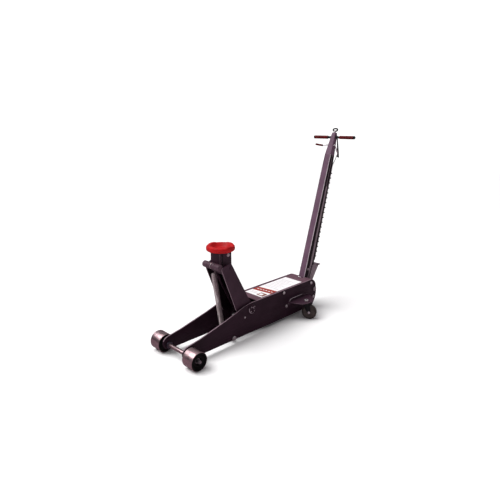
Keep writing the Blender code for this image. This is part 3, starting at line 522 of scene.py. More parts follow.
def tube_shape(points, radius, closed=False, sides=12):
    """A round tube through the points, with closed ends unless it is a ring."""
    curve = bpy.data.curves.new("route", "CURVE")
    curve.dimensions = "3D"
    curve.bevel_depth = radius
    curve.bevel_resolution = sides // 4
    curve.use_fill_caps = not closed
    spline = curve.splines.new("POLY")
    spline.points.add(len(points) - 1)
    for point, place in zip(spline.points, points):
        point.co = (*place, 1)
    spline.use_cyclic_u = closed
    holder = placed("route", curve)
    bpy.context.view_layer.update()
    graph = bpy.context.evaluated_depsgraph_get()
    mesh = bpy.data.meshes.new_from_object(holder.evaluated_get(graph))
    bpy.data.objects.remove(holder)
    shape = bmesh.new()
    shape.from_mesh(mesh)
    bmesh.ops.remove_doubles(shape, verts=shape.verts, dist=0.000005)
    bpy.data.meshes.remove(mesh)
    return shape


def smooth_path(corners, radius):
    """The corner points with each inner corner rounded to about the given radius."""
    corners = [Vector(corner) for corner in corners]
    path = [corners[0]]
    for before, here, after in zip(corners, corners[1:], corners[2:]):
        path += round_corner(here, before - here, after - here, radius, 6)
    path.append(corners[-1])
    return path


def weld_bead(name, start, end, body, radius=0.0024, look="paint"):
    """A hand-laid weld: a low ridge with overlapping ripples between two points."""
    start, end = Vector(start), Vector(end)
    length = (end - start).length
    count = max(6, int(length / 0.0016))
    shape = tube_shape([start.lerp(end, step / count) for step in range(count + 1)], radius, False, 8)
    along = (end - start).normalized()
    for vertex in shape.verts:
        share = (vertex.co - start).dot(along)
        core = start + along * share
        ripple = 0.82 + 0.16 * sin(share / 0.0030 * 2 * pi) + 0.10 * noise.noise(vertex.co * 300)
        vertex.co = core + (vertex.co - core) * ripple
    new_piece(name, shape, look, body, sharp=70)


def bolts(name, spots, across, height, body, look="bolt", washer=None):
    """Hexagon heads as one piece. Each spot is (point, outward direction, turn in degrees)."""
    shapes = []
    for point, outward, turn in spots:
        matrix = shift(point) @ pointing(outward) @ Matrix.Rotation(radians(turn), 4, "Z")
        shapes.append(moved(hex_shape(across, height, washer), matrix))
    new_piece(name, merge(*shapes), look, body)


# ---- chassis
def ring_profile(outer, inner, half):
    return [(outer, half), (outer, -half), (inner, -half), (inner, half)]


def cross_rods():
    """The rods through the side plates, with washers and hexagon heads outside."""
    for node in ("power_unit_upper_rod", "power_unit_lower_rod", "cover_rear_rod", "rear_tie_rod"):
        middle, half = middle_of(node), size_of(node).x / 2
        plate = half - 0.006
        shapes = [moved(lathe_shape(mirrored([(0, plate), (0.0069, plate)]), 32), shift(middle) @ ACROSS)]
        for sign in (-1, 1):
            spot = outward(middle + Vector((sign * plate, 0, 0)), sign)
            spin = Matrix.Rotation(radians(17 + 31 * middle.y), 4, "Z")
            shapes.append(moved(hex_shape(0.0150, 0.0054, 0.0105), spot @ spin))
        new_piece(f"{node}_bolt", merge(*shapes), "bolt", node=node)


def front_axle():
    """The axle between the side plates, its turned ends, and the collars, spacers and nuts on it."""
    middle, half = middle_of("front_axle"), size_of("front_axle").x / 2
    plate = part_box("side_plate_right")[0][0]
    shoulder, end = 0.0119, 0.0099
    bar = [(0, plate + 0.022), (shoulder, plate + 0.022), (shoulder, 0)]
    lathe("front_axle_bar", mirrored(bar), middle, "turned", node="front_axle")
    stub = [
        (0, half), (end - 0.0030, half), (end - 0.0040, half - 0.0030), (end - 0.0018, half - 0.0030),
        (end, half - 0.0050), (end, plate + 0.0215), (0, plate + 0.0215),
    ]
    for side, sign in SIDES:
        turn = Matrix.Rotation(sign * pi / 2, 4, "Y")
        lathe(f"front_axle_end_{side}", stub, middle, "zinc", "chassis", None, 32, 0.0006, turn)
        spot = middle + Vector((sign * (plate - 0.0065), 0, 0))
        collar = ring_profile(0.0190, shoulder, 0.006)
        lathe(f"axle_collar_{side}", collar, spot, "bluish", "chassis")
        spacer = f"axle_spacer_{side}"
        ring = ring_profile(0.0200, 0.0124, size_of(spacer).x / 2)
        lathe(f"{spacer}_ring", ring, middle_of(spacer), "bluish", node=spacer)
        nut = f"axle_nut_{side}"
        low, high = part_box(nut)
        inner = low[0] if sign > 0 else high[0]
        shape = moved(hex_shape(0.0216, 0.0140, 0.0160), outward((inner, middle.y, middle.z), sign))
        new_piece(f"{nut}_hex", shape, "zinc", node=nut)


def pivot_caps():
    """Dished caps on the arm's pivot shaft, each held by four small screws."""
    screw_circle = 0.0195
    for side, sign in SIDES:
        node = f"pivot_cap_{side}"
        low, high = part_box(node)
        face, base = (low[0], high[0]) if sign < 0 else (high[0], low[0])
        deep = abs(face - base)
        dish = [
            (0, deep - 0.0022), (0.0110, deep - 0.0022), (0.0130, deep), (0.0255, deep),
            (0.0298, deep - 0.0024), (0.0298, 0.0002), (0, 0.0002),
        ]
        shape = moved(turned(dish, 0.0012, 64), outward((base, ARM_PIVOT.y, ARM_PIVOT.z), sign))
        cap = new_piece(f"{node}_dish", shape, "paint", node=node)
        # Painted highlight on the lower front chamfer of each cap.
        repaint(cap, "cap_highlight_paint", lambda n, c: 0.25 < abs(n.x) < 0.93 and n.z + n.y < -0.35)
        spots = []
        for number in range(4):
            turn = radians(40 + 90 * number)
            y = ARM_PIVOT.y + screw_circle * cos(turn)
            z = ARM_PIVOT.z + screw_circle * sin(turn)
            spots.append(((face, y, z), (sign, 0, 0), 20 * number))
        bolts(f"pivot_cap_screws_{side}", spots, 0.0072, 0.0028, "chassis", "pin_steel")


def chassis_details():
    """Studs on the side plates, and the welds of the caster brackets."""
    stud = [(0, 0.0034), (0.0042, 0.0028), (0.0062, 0.0008), (0.0062, 0), (0, 0)]
    stud_places = ((-0.2690, 0.1420), (0.4465, 0.1395), (0.4480, 0.1000))
    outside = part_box("side_plate_right")[1][0] + LIFT
    weld_height = 0.1260
    for side, sign in SIDES:
        shapes = []
        for y, z in stud_places:
            shapes.append(moved(turned(stud, 0.0008, 28), outward((sign * outside, y, z), sign)))
        new_piece(f"plate_studs_{side}", merge(*shapes), "bolt", "chassis")
        low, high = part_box(f"caster_bracket_{side}")
        x = (low[0] if sign > 0 else high[0]) + sign * 0.0048
        start, end = (x, low[1] + 0.020, weld_height), (x, high[1] - 0.014, weld_height)
        weld_bead(f"bracket_weld_{side}", start, end, "chassis")


def top_label():
    """A white printed sheet with a red band, a small square mark and rows of grey bars."""
    low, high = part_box("top_cover")
    top = high[2] + LIFT
    thick = 0.00035
    half_wide = 0.0745
    front, rear = low[1] + 0.055, low[1] + 0.465
    band_front, band_rear, lean = front + 0.078, front + 0.140, 0.010 / half_wide

    def sheet(name, look, layer, left, near, right, far, slope=0.0):
        """A printed patch. Its near and far edges slope back towards the right."""
        corners = [
            (x, y + slope * x) for x, y in ((left, near), (right, near), (right, far), (left, far))
        ]
        base = top + layer * thick
        new_piece(name, prism_shape(corners, base, base + thick, 0), look, "chassis")

    def ink(left, near, right, far):
        return box_shape((left, near, top + thick), (right, far, top + 2 * thick), 0)

    sheet("label_sheet", "white", 0, -half_wide, front, half_wide, rear)
    sheet("label_band", "band", 1, -half_wide, band_front, half_wide, band_rear, lean)
    sheet("label_mark", "brown", 1, 0.014, front + 0.014, 0.068, front + 0.062)
    sheet("label_mark_middle", "white", 2, 0.022, front + 0.024, 0.050, front + 0.050)
    dashes = []
    for number in range(6):
        start = -0.058 + 0.022 * number
        near = band_front + 0.026 + start * 0.13
        corner = (start + 0.014, near + 0.008, top + 3 * thick)
        dashes.append(box_shape((start, near, top + 2 * thick), corner, 0))
    new_piece("label_band_dashes", merge(*dashes), "white", "chassis")
    bars = []
    for row in range(9):
        near = band_rear + 0.036 + row * 0.0225
        bars.append(ink(-0.060, near, 0.058 - 0.016 * ((row * 5) % 3), near + 0.0035))
    bars.append(ink(-0.060, front + 0.028, 0.010, front + 0.033))
    bars.append(ink(-0.060, front + 0.046, -0.008, front + 0.051))
    new_piece("label_bars", merge(*bars), "grey_ink", "chassis")


def caster_brackets():
    """The welded angle brackets of the casters, with painted light: a lighter enamel on their top and sloped
    faces, and a painted highlight along the upright flange.
    """
    for side, _ in SIDES:
        node = f"caster_bracket_{side}"
        _, front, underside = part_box(node)[0]
        plate_top, flange_end = underside + 0.0250, front + 0.1150

        def on_flange(n, c):
            return c.y <= flange_end and c.z > plate_top and (n.z > 0.3 or n.y < -0.6)

        bracket = refined(node, "paint", 0.0010, 3)
        # Painted light: the flat top faces take the lighter arm enamel, the sloped faces a lighter one, and the
        # upright flange's front and top a near-white highlight.
        repaint(bracket, "arm_paint", lambda n, c: n.z > 0.95)
        repaint(bracket, "lit_edge_paint", lambda n, c: 0.25 < n.z < 0.95)
        repaint(bracket, "highlight_paint", on_flange)


def chassis():
    for node in ("side_plate_left", "side_plate_right"):
        plate = refined(node, "paint", 0.0012, 3)
        # Painted highlight: the upward-facing top edges of the plates get the lighter enamel.
        repaint(plate, "lit_edge_paint", lambda n, c: abs(n.x) < 0.6 and n.z > 0.3)
    refined("top_cover", "cover_paint")
    for node in ("fluid_reservoir", "ram_cylinder", "link_anchor_left", "link_anchor_right"):
        refined(node, "black", 0.0010)
    caster_brackets()
    refined("arm_pivot_shaft", "pin_steel", 0.0006)
    refined("filler_plug", "bolt")
    refined("handle_pivot_shaft", "pin_steel", 0.0010)
    refined("front_cross_rod", "pin_steel")
    cross_rods()
    front_axle()
    pivot_caps()
    chassis_details()
    top_label()


# ---- wheels
def front_wheels():
    """Steel rollers: a turned tread with chamfered rims around a recessed black face."""
    bore = 0.0103
    for side, sign in SIDES:
        node = f"front_wheel_{side}"
        middle, half = middle_of(node), size_of(node).x / 2
        radius = size_of(node).z / 2
        inner_face, disc_end, dish = half - 0.0050, half - 0.0006, half - 0.0060
        tread = [
            (radius - 0.0014, half), (radius, half - 0.0020), (radius, 0.0020 - half),
            (radius - 0.0014, -half), (radius - 0.0026, -half), (radius - 0.0034, -inner_face),
            (radius - 0.0034, inner_face), (radius - 0.0026, half),
        ]
        lathe(f"{node}_tread", tread, middle, "turned", None, node, 96, 0.0010)
        disc = [
            (radius - 0.0030, disc_end), (radius - 0.0030, -disc_end), (0.0300, -disc_end),
            (0.0240, -disc_end), (bore, -disc_end), (bore, half - 0.0180), (0.0200, half - 0.0180),
            (0.0225, dish), (0.0330, dish), (0.0350, half - 0.0085), (0.0420, half - 0.0085),
            (0.0450, disc_end),
        ]
        if sign < 0:
            disc = [(r, -x) for r, x in reversed(disc)]
        lathe(f"{node}_face", disc, middle, "wheel_face", node, None, 72, 0.0010)


def caster_wheel(side, place):
    """A soft tread on a cast hub with five ribs on each side."""
    wheel = f"caster_wheel_{side}"
    radius = size_of(wheel).z / 2
    half, hub_half, web_half = 0.0143, 0.0138, 0.0078
    tyre = [
        (radius - 0.0040, half), (radius, half - 0.0040), (radius, 0.0040 - half),
        (radius - 0.0040, -half), (radius - 0.0100, -half), (radius - 0.0110, 0.002 - half),
        (radius - 0.0110, half - 0.002), (radius - 0.0100, half),
    ]
    new_piece(f"{wheel}_tyre", moved(turned(tyre, 0.0016, 72), place), "tyre", node=wheel)
    hub = mirrored([
        (radius - 0.0106, 0.0105), (0.0280, web_half), (0.0190, web_half), (0.0165, hub_half),
        (0.0066, hub_half),
    ])
    shapes = [turned(hub, 0.0010, 72)]
    rib_middle, rib_half, rib_thin = 0.0090, 0.0022, 0.0016
    for way in (-1, 1):
        for number in range(5):
            low = (0.0160, -rib_thin, way * rib_middle - rib_half)
            high = (0.0385, rib_thin, way * rib_middle + rib_half)
            turn = Matrix.Rotation(2 * pi * number / 5 + 0.3, 4, "Z")
            shapes.append(moved(box_shape(low, high), turn))
    new_piece(f"{wheel}_hub", moved(merge(*shapes), place), "hub", wheel)


def caster_axle(side, place):
    """The bolt through the fork, with a hexagon head at each end."""
    bolt = mirrored([(0, 0.0190), (0.0058, 0.0190)])
    shapes = [moved(lathe_shape(bolt, 24), place)]
    for flip in (0, pi):
        end = Matrix.Rotation(flip, 4, "X") @ shift((0, 0, 0.0188))
        shapes.append(moved(hex_shape(0.0140, 0.0046, 0.0088), place @ end))
    axle = f"caster_axle_{side}"
    new_piece(f"{axle}_bolt", merge(*shapes), "bolt", node=axle)


def caster_fork(side):
    """The fork with its bright kingpin head, and a black disc of painted shade standing for the hole in the top of
    the head.
    """
    node = f"caster_fork_{side}"
    kingpin = place_of(f"caster_swivel_{side}")
    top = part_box(node)[1][2]
    repaint(refined(node, "black"), "bolt", lambda n, c: c.z > top - 0.0115)
    # A thin black disc on top of the kingpin head: painted shade where its hole would be.
    hole = lathe_shape([(0, 0.0003), (0.0055, 0.0003), (0.0055, -0.0010), (0, -0.0010)], 24)
    moved(hole, shift((kingpin.x, kingpin.y, top)))
    new_piece(f"kingpin_hole_shade_{side}", hole, "black", node)


def casters():
    for side, _ in SIDES:
        spin = JOINTS[f"caster_wheel_{side}_spin"]
        place = shift(spin["pos_m"]) @ pointing(spin["axis"])
        caster_wheel(side, place)
        caster_axle(side, place)
        caster_fork(side)


# ---- lift arm, head and saddle
def lift_arm():
    """The arm's plates, web and heel, the grooved tube across its top, and the web's welds."""
    for side, sign in SIDES:
        plate = refined(f"arm_plate_{side}", "arm_paint", 0.0012, 3)
        # Painted highlight on the plates' front-facing edges, and painted shade on their inner faces.
        repaint(plate, "lit_edge_paint", lambda n, c: n.y < -0.5)
        repaint(plate, "shadow_paint", lambda n, c, sign=sign: n.x * sign < -0.9)
    refined("arm_web", "paint", 0.0010)
    refined("arm_heel", "paint")
    refined("heel_roller", "pin_steel", 0.0010)
    half, radius = size_of("arm_cross_bar").x / 2, size_of("arm_cross_bar").z / 2
    groove = radius - 0.0030
    profile = [
        (0, half), (radius, half), (radius, 0.0330), (radius - 0.0012, 0.0322),
        (radius - 0.0012, 0.0298), (radius, 0.0290), (radius, 0.0045), (groove, 0.0032), (groove, 0),
    ]
    lathe("arm_cross_tube", mirrored(profile), CROSS_BAR, "bar_paint", node="arm_cross_bar")
    refined("head_pin", "arm_paint")
    low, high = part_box("arm_web")
    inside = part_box("arm_plate_right")[0][0] - LIFT - 0.0012
    for side, sign in SIDES:
        start = (sign * inside, low[1] + 0.0020, high[2] - 0.0020)
        end = (sign * inside, high[1] - 0.0080, low[2] + 0.0010)
        weld_bead(f"web_weld_{side}", start, end, "lift_arm", 0.0022, "arm_paint")


def head():
    """The head block, with a thin strip of painted shade standing for a slot in each side and a clamp screw above
    each end of its pin.
    """
    refined("head_block", "arm_paint", 0.0014, 3)
    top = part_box("head_block")[1][2]
    slot_front = HEAD_PIN.y - 0.0375
    # A thin dark box laid on each side of the head: painted shade where a slot would be.
    for side, sign in SIDES:
        x = sign * 0.0414
        low = (x - 0.0006, slot_front, HEAD_PIN.z + 0.006)
        slot = box_shape(low, (x + 0.0006, slot_front + 0.0085, top - 0.006), 0.0003)
        new_piece(f"head_slot_shade_{side}", slot, "shadow_paint", "head")
    spots = [
        ((sign * 0.0411, HEAD_PIN.y + 0.0130, top - 0.0230), (sign, 0, 0), 15) for _, sign in SIDES
    ]
    bolts("head_clamp_screws", spots, 0.0135, 0.0060, "head", "bolt", 0.0105)


def step_up(value, start, width):
    """0 up to start, then a straight rise to 1 over the width."""
    return min(1.0, max(0.0, (value - start) / width))


def saddle():
    """The cast cup: a lobed rim with four raised lugs around a flat grooved floor."""
    low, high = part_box("saddle")
    floor = SADDLE_AXIS.z
    radius = size_of("saddle").x / 2
    lug_rise = 0.0040
    edge = high[2] - floor - lug_rise
    profile = [
        (0, 0.0103), (0.0100, 0.0103), (0.0105, 0.0088), (0.0180, 0.0088), (0.0185, 0.0103),
        (0.0380, 0.0103), (0.0470, 0.0150), (0.0580, edge - 0.0050), (0.0630, edge - 0.0010),
        (0.0690, edge), (radius - 0.0085, edge - 0.0004), (radius - 0.0035, edge - 0.0030),
        (radius - 0.0006, edge - 0.0085), (radius, edge - 0.0130), (radius, 0.0130),
        (radius - 0.0020, 0.0075), (radius - 0.0080, 0.0030), (radius - 0.0200, 0.0004), (0, 0.0004),
    ]
    shape = lathe_shape(rounded_profile(profile, 0.0022, 4), 144)
    for vertex in shape.verts:
        flat = Vector((vertex.co.x, vertex.co.y))
        reach = flat.length
        if reach < 0.040:
            continue
        turn = flat.angle_signed(Vector((1, 0)), 0)
        lobe = max(0.0, cos(4 * turn)) ** 0.6
        scallop = 0.5 - 0.5 * cos(4 * turn)
        pull = 1 - 0.018 * scallop * step_up(reach, 0.056, 0.020)
        vertex.co.x *= pull
        vertex.co.y *= pull
        rise = step_up(vertex.co.z, 0.016, 0.006) * step_up(reach, 0.058, 0.006)
        vertex.co.z += lug_rise * lobe * rise
    moved(shape, shift(SADDLE_AXIS))
    new_piece("saddle_cup", shape, "red", node="saddle", sharp=50)
    top = floor + 0.002 - low[2]
    post = [(0, top), (0.0158, top), (0.0158, 0), (0, 0)]
    foot = Vector((SADDLE_AXIS.x, SADDLE_AXIS.y, low[2]))
    lathe("saddle_post", post, foot, "bolt", "saddle", turn=UPRIGHT)


def leveling_links():
    for side, _ in SIDES:
        refined(f"leveling_link_{side}", "arm_paint")


# ---- return spring and ram
def return_spring():
    """A close-wound coil with a hook round the cross bar and another round the front rod."""
    top, foot = CROSS_BAR, SPRING_FOOT
    down = (foot - top).normalized()
    across = Vector((0, -down.z, down.y))
    aside = Vector((1, 0, 0))
    wire, coil = 0.0019, 0.0143
    turns, per_turn = 68, 14
    bar_radius, rod_radius = 0.0165, 0.0100

    def hook(centre, radius, first, sweep):
        steps = 22
        angles = [radians(first + sweep * step / steps) for step in range(steps + 1)]
        return [centre + radius * (cos(angle) * down + sin(angle) * across) for angle in angles]

    def lead(start, end):
        return [start.lerp(end, share) for share in (0.35, 0.7)]

    top_hook = hook(top, bar_radius + wire + 0.0008, -60, -230)
    foot_hook = hook(foot, rod_radius + wire + 0.0006, 100, -250)
    start, end = 0.046, (foot - top).length - 0.032
    windings = []
    for step in range(turns * per_turn + 1):
        angle = 2 * pi * step / per_turn
        share = step / (turns * per_turn)
        swell = 1.0 - 0.35 * max(0.0, abs(2 * share - 1) - 0.96) / 0.04
        ring = coil * swell * (cos(angle) * across + sin(angle) * aside)
        windings.append(top + (start + (end - start) * share) * down + ring)
    points = top_hook + lead(top_hook[-1], top + start * down + coil * across)
    points += windings + lead(windings[-1], foot_hook[0]) + foot_hook
    shape = tube_shape(points, wire, False, 8)
    spring = new_piece("return_spring_coil", shape, "spring", node="return_spring", sharp=60)
    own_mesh(spring)


def hydraulics():
    refined("ram_rod", "chrome", 0.0006)
    refined("pump_plunger", "chrome", 0.0006)


# ---- handle
# Places on the handle are (x, backwards, up along the tube), measured from its pivot.
TUBE_HALF, TUBE_FOOT, TUBE_TOP = 0.0259, 0.062, 0.965


def handle_piece(name, shape, look, body="handle", node=None):
    """A piece that is given in the handle's own frame."""
    return new_piece(name, moved(shape, HANDLE_FRAME), look, body, node)


def along_handle(point):
    return (point - HANDLE_PIVOT).dot(HANDLE_UP)


def rounded_section(half, front, rear, corner):
    """The outline of a rectangle with round corners, as (x, back) points."""
    points = []
    centres = (
        (half - corner, rear - corner, 0), (-half + corner, rear - corner, 90),
        (-half + corner, front + corner, 180), (half - corner, front + corner, 270),
    )
    steps = 5
    for x, y, first in centres:
        for step in range(steps + 1):
            turn = radians(first + 90 * step / steps)
            points.append((x + corner * cos(turn), y + corner * sin(turn)))
    return points


def section_loft(sections):
    """A solid through rounded rectangles. Each is (up, half width, front, rear, corner radius)."""
    shape = bmesh.new()
    rings = []
    for up, *section in sections:
        rings.append([shape.verts.new((x, back, up)) for x, back in rounded_section(*section)])
    for lower, upper in zip(rings, rings[1:]):
        bridge(shape, lower, upper)
    shape.faces.new(list(reversed(rings[0])))
    shape.faces.new(rings[-1])
    return shape


def tube_section(up):
    """Front and rear of the tapered tube at a height along it."""
    share = (up - TUBE_FOOT) / (TUBE_TOP - TUBE_FOOT)
    return -0.0545 + 0.0200 * share, 0.0350 - 0.0185 * share


def side_strip(sign, low, high, near, far, thick):
    """A strip on the tube's side from low to high, between two shares of the tube's depth."""
    corners = []
    for up, order in ((low, (near, far)), (high, (far, near))):
        front, rear = tube_section(up)
        corners += [(front + (rear - front) * part, up) for part in order]
    stand = Matrix(((0, 0, sign, sign * TUBE_HALF), (1, 0, 0, 0), (0, 1, 0, 0), (0, 0, 0, 1)))
    return moved(prism_shape(corners, 0, thick, 0), stand)


def handle_tube():
    """The tapered tube, with a painted highlight on one front corner, painted shade on its sides, rear and other
    front corner, and a raised strip and a strip of painted shade on each side.
    """
    levels = [TUBE_FOOT, 0.300, 0.520, 0.740, TUBE_TOP]
    sections = [(up, TUBE_HALF, *tube_section(up), 0.0045) for up in levels]
    shell = handle_piece("handle_tube_shell", section_loft(sections), "handle_paint", node="handle_tube")
    # Painted light: a highlight on the front corner that faces the light, and painted shade on the sides, the rear
    # and the other front corner.
    repaint(shell, "highlight_paint", lambda n, c: n.x > 0.25 and n.y < -0.25)
    repaint(shell, "shadow_paint", lambda n, c: abs(n.x) > 0.9 or n.y > 0.3)
    repaint(shell, "shadow_paint", lambda n, c: n.x < -0.10 and n.y < -0.10)
    for side, sign in SIDES:
        # Each side also gets a thin strip of painted shade beside the raised strip.
        raised, dark = [], []
        for low, high in zip(levels, levels[1:]):
            far, thick = (0.70, 0.0012) if high < TUBE_TOP else (0.52, LIFT)
            raised.append(side_strip(sign, low, high, 0.46, far, thick))
            dark.append(side_strip(sign, low, high, 0.06, 0.42, LIFT))
        handle_piece(f"handle_stiffener_{side}", merge(*raised), "strip_paint")
        handle_piece(f"handle_shadow_panel_{side}", merge(*dark), "shadow_paint")


def handle_neck():
    """The neck that narrows to the ring, and the socket and yoke with their bolts at the foot."""
    sections = [
        (0.9653, 0.0259, -0.0340, 0.0160, 0.0045), (0.9850, 0.0246, -0.0318, 0.0158, 0.0045),
        (1.0795, 0.0185, -0.0190, 0.0140, 0.0040), (1.1120, 0.0165, -0.0150, 0.0128, 0.0040),
        (1.1240, 0.0155, -0.0134, 0.0121, 0.0050), (1.1278, 0.0125, -0.0105, 0.0095, 0.0050),
    ]
    handle_piece("handle_neck_cap", section_loft(sections), "handle_paint", node="handle_neck")
    refined("handle_socket", "paint", 0.0010)
    refined("handle_yoke", "strip_paint", 0.0010)
    bolt = HANDLE_FRAME @ Vector((0, -0.0290, 0.1280))
    spots = [(bolt + Vector((sign * 0.0264, 0, 0)), (sign, 0, 0), 10) for _, sign in SIDES]
    bolts("handle_socket_bolts", spots, 0.0130, 0.0085, "handle", "strip_paint", 0.0100)
    stud = [(0, 0.0245), (0.0042, 0.0240), (0.0042, 0), (0, 0)]
    shape = moved(turned(stud, 0.0006, 20), outward(bolt + Vector((-0.0262, 0, 0)), -1))
    new_piece("handle_socket_stud", shape, "bolt", "handle")


def t_bar():
    """The bar's two halves, each with a ridged sleeve and a smooth cap on its end."""
    sleeve, valley, rib, cap = 0.0117, 0.0108, 0.0062, 0.0120
    for side, sign in SIDES:
        bar, grip = f"t_bar_{side}", f"grip_{side}"
        middle, half = middle_of(bar), size_of(bar).x / 2
        rod = mirrored([(0, half), (0.0084, half)])
        lathe(f"{bar}_rod", rod, middle, "black", None, bar, 40)
        low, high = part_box(grip)
        inner = low[0] if sign > 0 else high[0]
        length = high[0] - low[0]
        first, last = 0.008, length - cap - 0.005
        profile = [(0.0090, 0), (0.0105, 0), (sleeve, 0.0020)]
        for number in range(int((last - first) / rib)):
            start = first + number * rib
            profile += [
                (sleeve, start), (valley, start + 0.0006), (valley, start + 0.0016),
                (sleeve, start + 0.0022),
            ]
        profile += [(sleeve, length - cap), (0.0090, length - cap)]
        spot = outward((inner, middle.y, middle.z), sign)
        shape = moved(lathe_shape(profile, 48), spot)
        new_piece(f"{grip}_sleeve", shape, "grip", node=grip)
        tip = [
            (0, length), (0.0080, length - 0.0002), (0.0112, length - 0.0030),
            (0.0118, length - 0.0060), (0.0118, length - cap + 0.0004), (0, length - cap + 0.0004),
        ]
        new_piece(f"{grip}_cap", moved(turned(tip, 0.0012, 48), spot), "cap", "handle")


def release_control():
    """The ring at the top of the handle, on the rod that runs down inside it."""
    centre = middle_of("release_knob")
    wire, rise, steps = 0.0051, 0.0092, 64
    half_wide = size_of("release_knob").x / 2 - wire
    points = []
    for step in range(steps):
        turn = 2 * pi * step / steps
        aside = Vector((half_wide * cos(turn), 0, 0))
        points.append(centre + aside + rise * sin(turn) * HANDLE_UP)
    ring = tube_shape(points, wire, True, 16)
    new_piece("release_ring", ring, "cap", node="release_knob", sharp=60)
    up = along_handle(centre)
    stem = [
        (0, up - 0.0070), (0.0062, up - 0.0085), (0.0062, up - 0.0165), (0.0040, up - 0.0182),
        (0.0040, 0.0500), (0, 0.0500),
    ]
    shape = turned(stem, 0.0010, 28)
    handle_piece("release_stem", shape, "bolt", "release_control", "release_rod")


def handle_wire(node, corners, bend, radius):
    """A bent rod through corners given on the handle, which stands for a CAD node."""
    points = [HANDLE_FRAME @ point for point in smooth_path(corners, bend)]
    new_piece(f"{node}_wire", tube_shape(points, radius), "bolt", node=node, sharp=60)


def lock_lever():
    """A bent wire lever with a beaded grip on one end and a roller on the other."""
    pivot = place_of("lock_squeeze")
    lift = along_handle(pivot)
    back = (pivot - HANDLE_PIVOT).dot(HANDLE_BACK)
    corners = [Vector(corner) for corner in (
        (-0.118, back - 0.027, lift - 0.0035), (-0.046, back - 0.027, lift - 0.0115),
        (-0.034, back - 0.018, lift - 0.006), (-0.030, back, lift), (0.030, back, lift),
        (0.032, back + 0.014, lift - 0.014), (0.032, back + 0.053, lift - 0.051),
    )]
    handle_wire("lock_lever", corners, 0.010, 0.0034)
    grip, grip_end, *_, tail, tip = corners
    aim = shift(grip) @ pointing(grip_end - grip)
    core = [(0.0036, 0.0005), (0.0058, 0.0010), (0.0058, 0.0655), (0.0036, 0.0660)]
    shape = moved(lathe_shape(core, 28), aim)
    handle_piece("lock_lever_core", shape, "cap", "lock_lever", "lock_lever_grip")
    beads = []
    for number in range(6):
        low = 0.0025 + number * 0.0106
        high = low + 0.0078
        bead = [(0.0056, low), (0.0070, low), (0.0070, high), (0.0056, high)]
        beads.append(moved(turned(bead, 0.0012, 28), aim))
    handle_piece("lock_lever_beads", merge(*beads), "grip", "lock_lever")
    roller = [(0, 0.014), (0.0050, 0.014), (0.0050, 0.0335), (0, 0.0335)]
    shape = moved(turned(roller, 0.0010, 24), shift(tail) @ pointing(tip - tail))
    handle_piece("lock_lever_roller", shape, "bolt", "lock_lever")


def lock_rod():
    """The rod down the back of the tube, and the row of guides that it slides in."""
    rod_foot, rod_bend = (0.0180, 0.0425, 0.200), (0.0180, 0.0255, 0.9050)
    corners = [(0.0215, 0.046, 0.9750), (0.0215, 0.044, 0.9500), rod_bend, rod_foot]
    handle_wire("lock_rod", corners, 0.014, 0.0029)
    left, right, wall, half_tall = 0.0120, 0.0240, 0.0030, 0.004
    guides = []
    for number in range(18):
        up = 0.230 + number * 0.036
        low, high = up - half_tall, up + half_tall
        inner = tube_section(up)[1] - 0.0004
        share = (up - rod_foot[2]) / (rod_bend[2] - rod_foot[2])
        rod_back = rod_foot[1] + (rod_bend[1] - rod_foot[1]) * share
        outer = rod_back + 0.0030
        for start in (left, right - wall):
            guides.append(box_shape((start, inner, low), (start + wall, outer, high), 0.0004))
        guides.append(box_shape((left, outer + 0.0002, low), (right, outer + 0.0024, high), 0.0004))
    handle_piece("rod_guides", merge(*guides), "black")


def neck_brace():
    """The pressed gusset between the T-bar and the tube, with a clip round the bar."""
    refined("neck_brace", "black", 0.0006)
    up = along_handle(middle_of("t_bar_right"))
    ring = turned(ring_profile(0.0120, 0.0086, 0.0030), 0.0006, 36)
    moved(ring, shift((0.0245, 0, up)) @ ACROSS)
    tab = box_shape((0.0225, 0.0070, up - 0.0180), (0.0265, 0.0150, up - 0.0060))
    handle_piece("brace_clip", merge(ring, tab), "black")


def handle():
    handle_tube()
    handle_neck()
    t_bar()
    release_control()
    lock_lever()
    lock_rod()
    neck_brace()


# ---- camera, light and floor
def camera():
    data = bpy.data.cameras.new("camera")
    data.sensor_width = 36
    data.lens = 31.88
    data.clip_end = 100
    looking = (radians(90 - 15.726), 0, radians(44.838))
    bpy.context.scene.camera = placed("camera", data, (1.8868, -2.0267, 1.28), looking)


def facing(direction):
    """The rotation that points a lamp in a direction."""
    return Vector(direction).to_track_quat("-Z", "Y").to_euler()


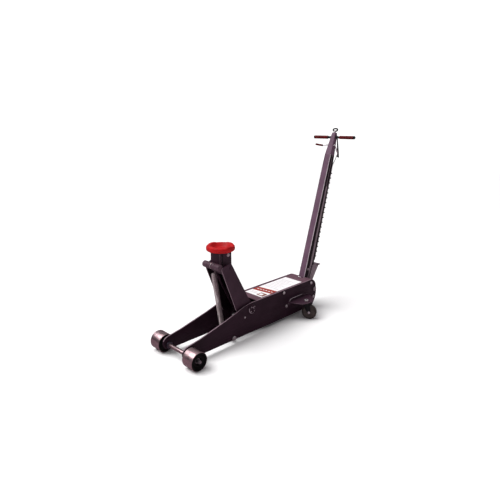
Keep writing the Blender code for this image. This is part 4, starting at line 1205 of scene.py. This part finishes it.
def surround():
    """A white surround for the camera, and a softer sky that lights and is reflected."""
    world = bpy.data.worlds.new("studio")
    bpy.context.scene.world = world
    studio = Graph(world)
    seen = studio.tree.nodes["Background"]
    seen.inputs["Color"].default_value = (1, 1, 1, 1)
    seen.inputs["Strength"].default_value = 1.2
    height = studio.node("SeparateXYZ")
    studio.join(studio.node("TexCoord").outputs["Generated"], height.inputs["Vector"])
    sky = studio.ramp(height.outputs["Z"], (0.05, (0.30, 0.25, 0.28)), (0.75, (1.0, 0.98, 1.0)))
    fill = studio.node("Background", Strength=0.42)
    studio.join(sky, fill.inputs["Color"])
    studio.choose(
        studio.node("LightPath").outputs["Is Camera Ray"], fill.outputs["Background"],
        seen.outputs["Background"], "World Output",
    )


def pale_floor():
    """A pale floor, which is darker where the steel and paint reflect it."""
    pale = Surface("pale_floor", (0.93, 0.92, 0.92), 0.9)
    pale.tint(pale.ramp(pale.noise(3, 3), (0.3, (0.92, 0.915, 0.915)), (0.7, (0.94, 0.935, 0.935))))
    reflected = pale.node("BsdfDiffuse", Color=(0.30, 0.23, 0.26, 1))
    pale.choose(
        pale.node("LightPath").outputs["Is Glossy Ray"], pale.shader.outputs["BSDF"],
        reflected.outputs["BSDF"], "Material Output",
    )
    shape = bmesh.new()
    bmesh.ops.create_grid(shape, x_segments=1, y_segments=1, size=12)
    mesh = mesh_of("floor", shape)
    mesh.materials.append(pale.material)
    placed("floor", mesh)


def lights():
    """A broad sun, and two soft lamps above and to the left."""
    sun = bpy.data.lights.new("sun", "SUN")
    sun.energy = 2.9
    sun.angle = radians(50)
    placed("sun", sun, rotation=facing((0.55, 0.40, -1.10)))
    for name, spot, aim, wide, power in (
        ("key", (-1.6, -2.6, 3.2), (0, 0, 0.2), 1.6, 26),
        ("overhead", (0.2, 0.2, 3.6), (0, 0, 0), 2.0, 12),
    ):
        data = bpy.data.lights.new(name, "AREA")
        data.shape = "RECTANGLE"
        data.size = data.size_y = wide
        data.energy = power
        placed(name, data, spot, facing(Vector(aim) - Vector(spot)))
    bpy.context.scene.view_settings.view_transform = "Standard"


camera()
surround()
pale_floor()
lights()
chassis()
front_wheels()
casters()
lift_arm()
head()
saddle()
leveling_links()
return_spring()
hydraulics()
handle()
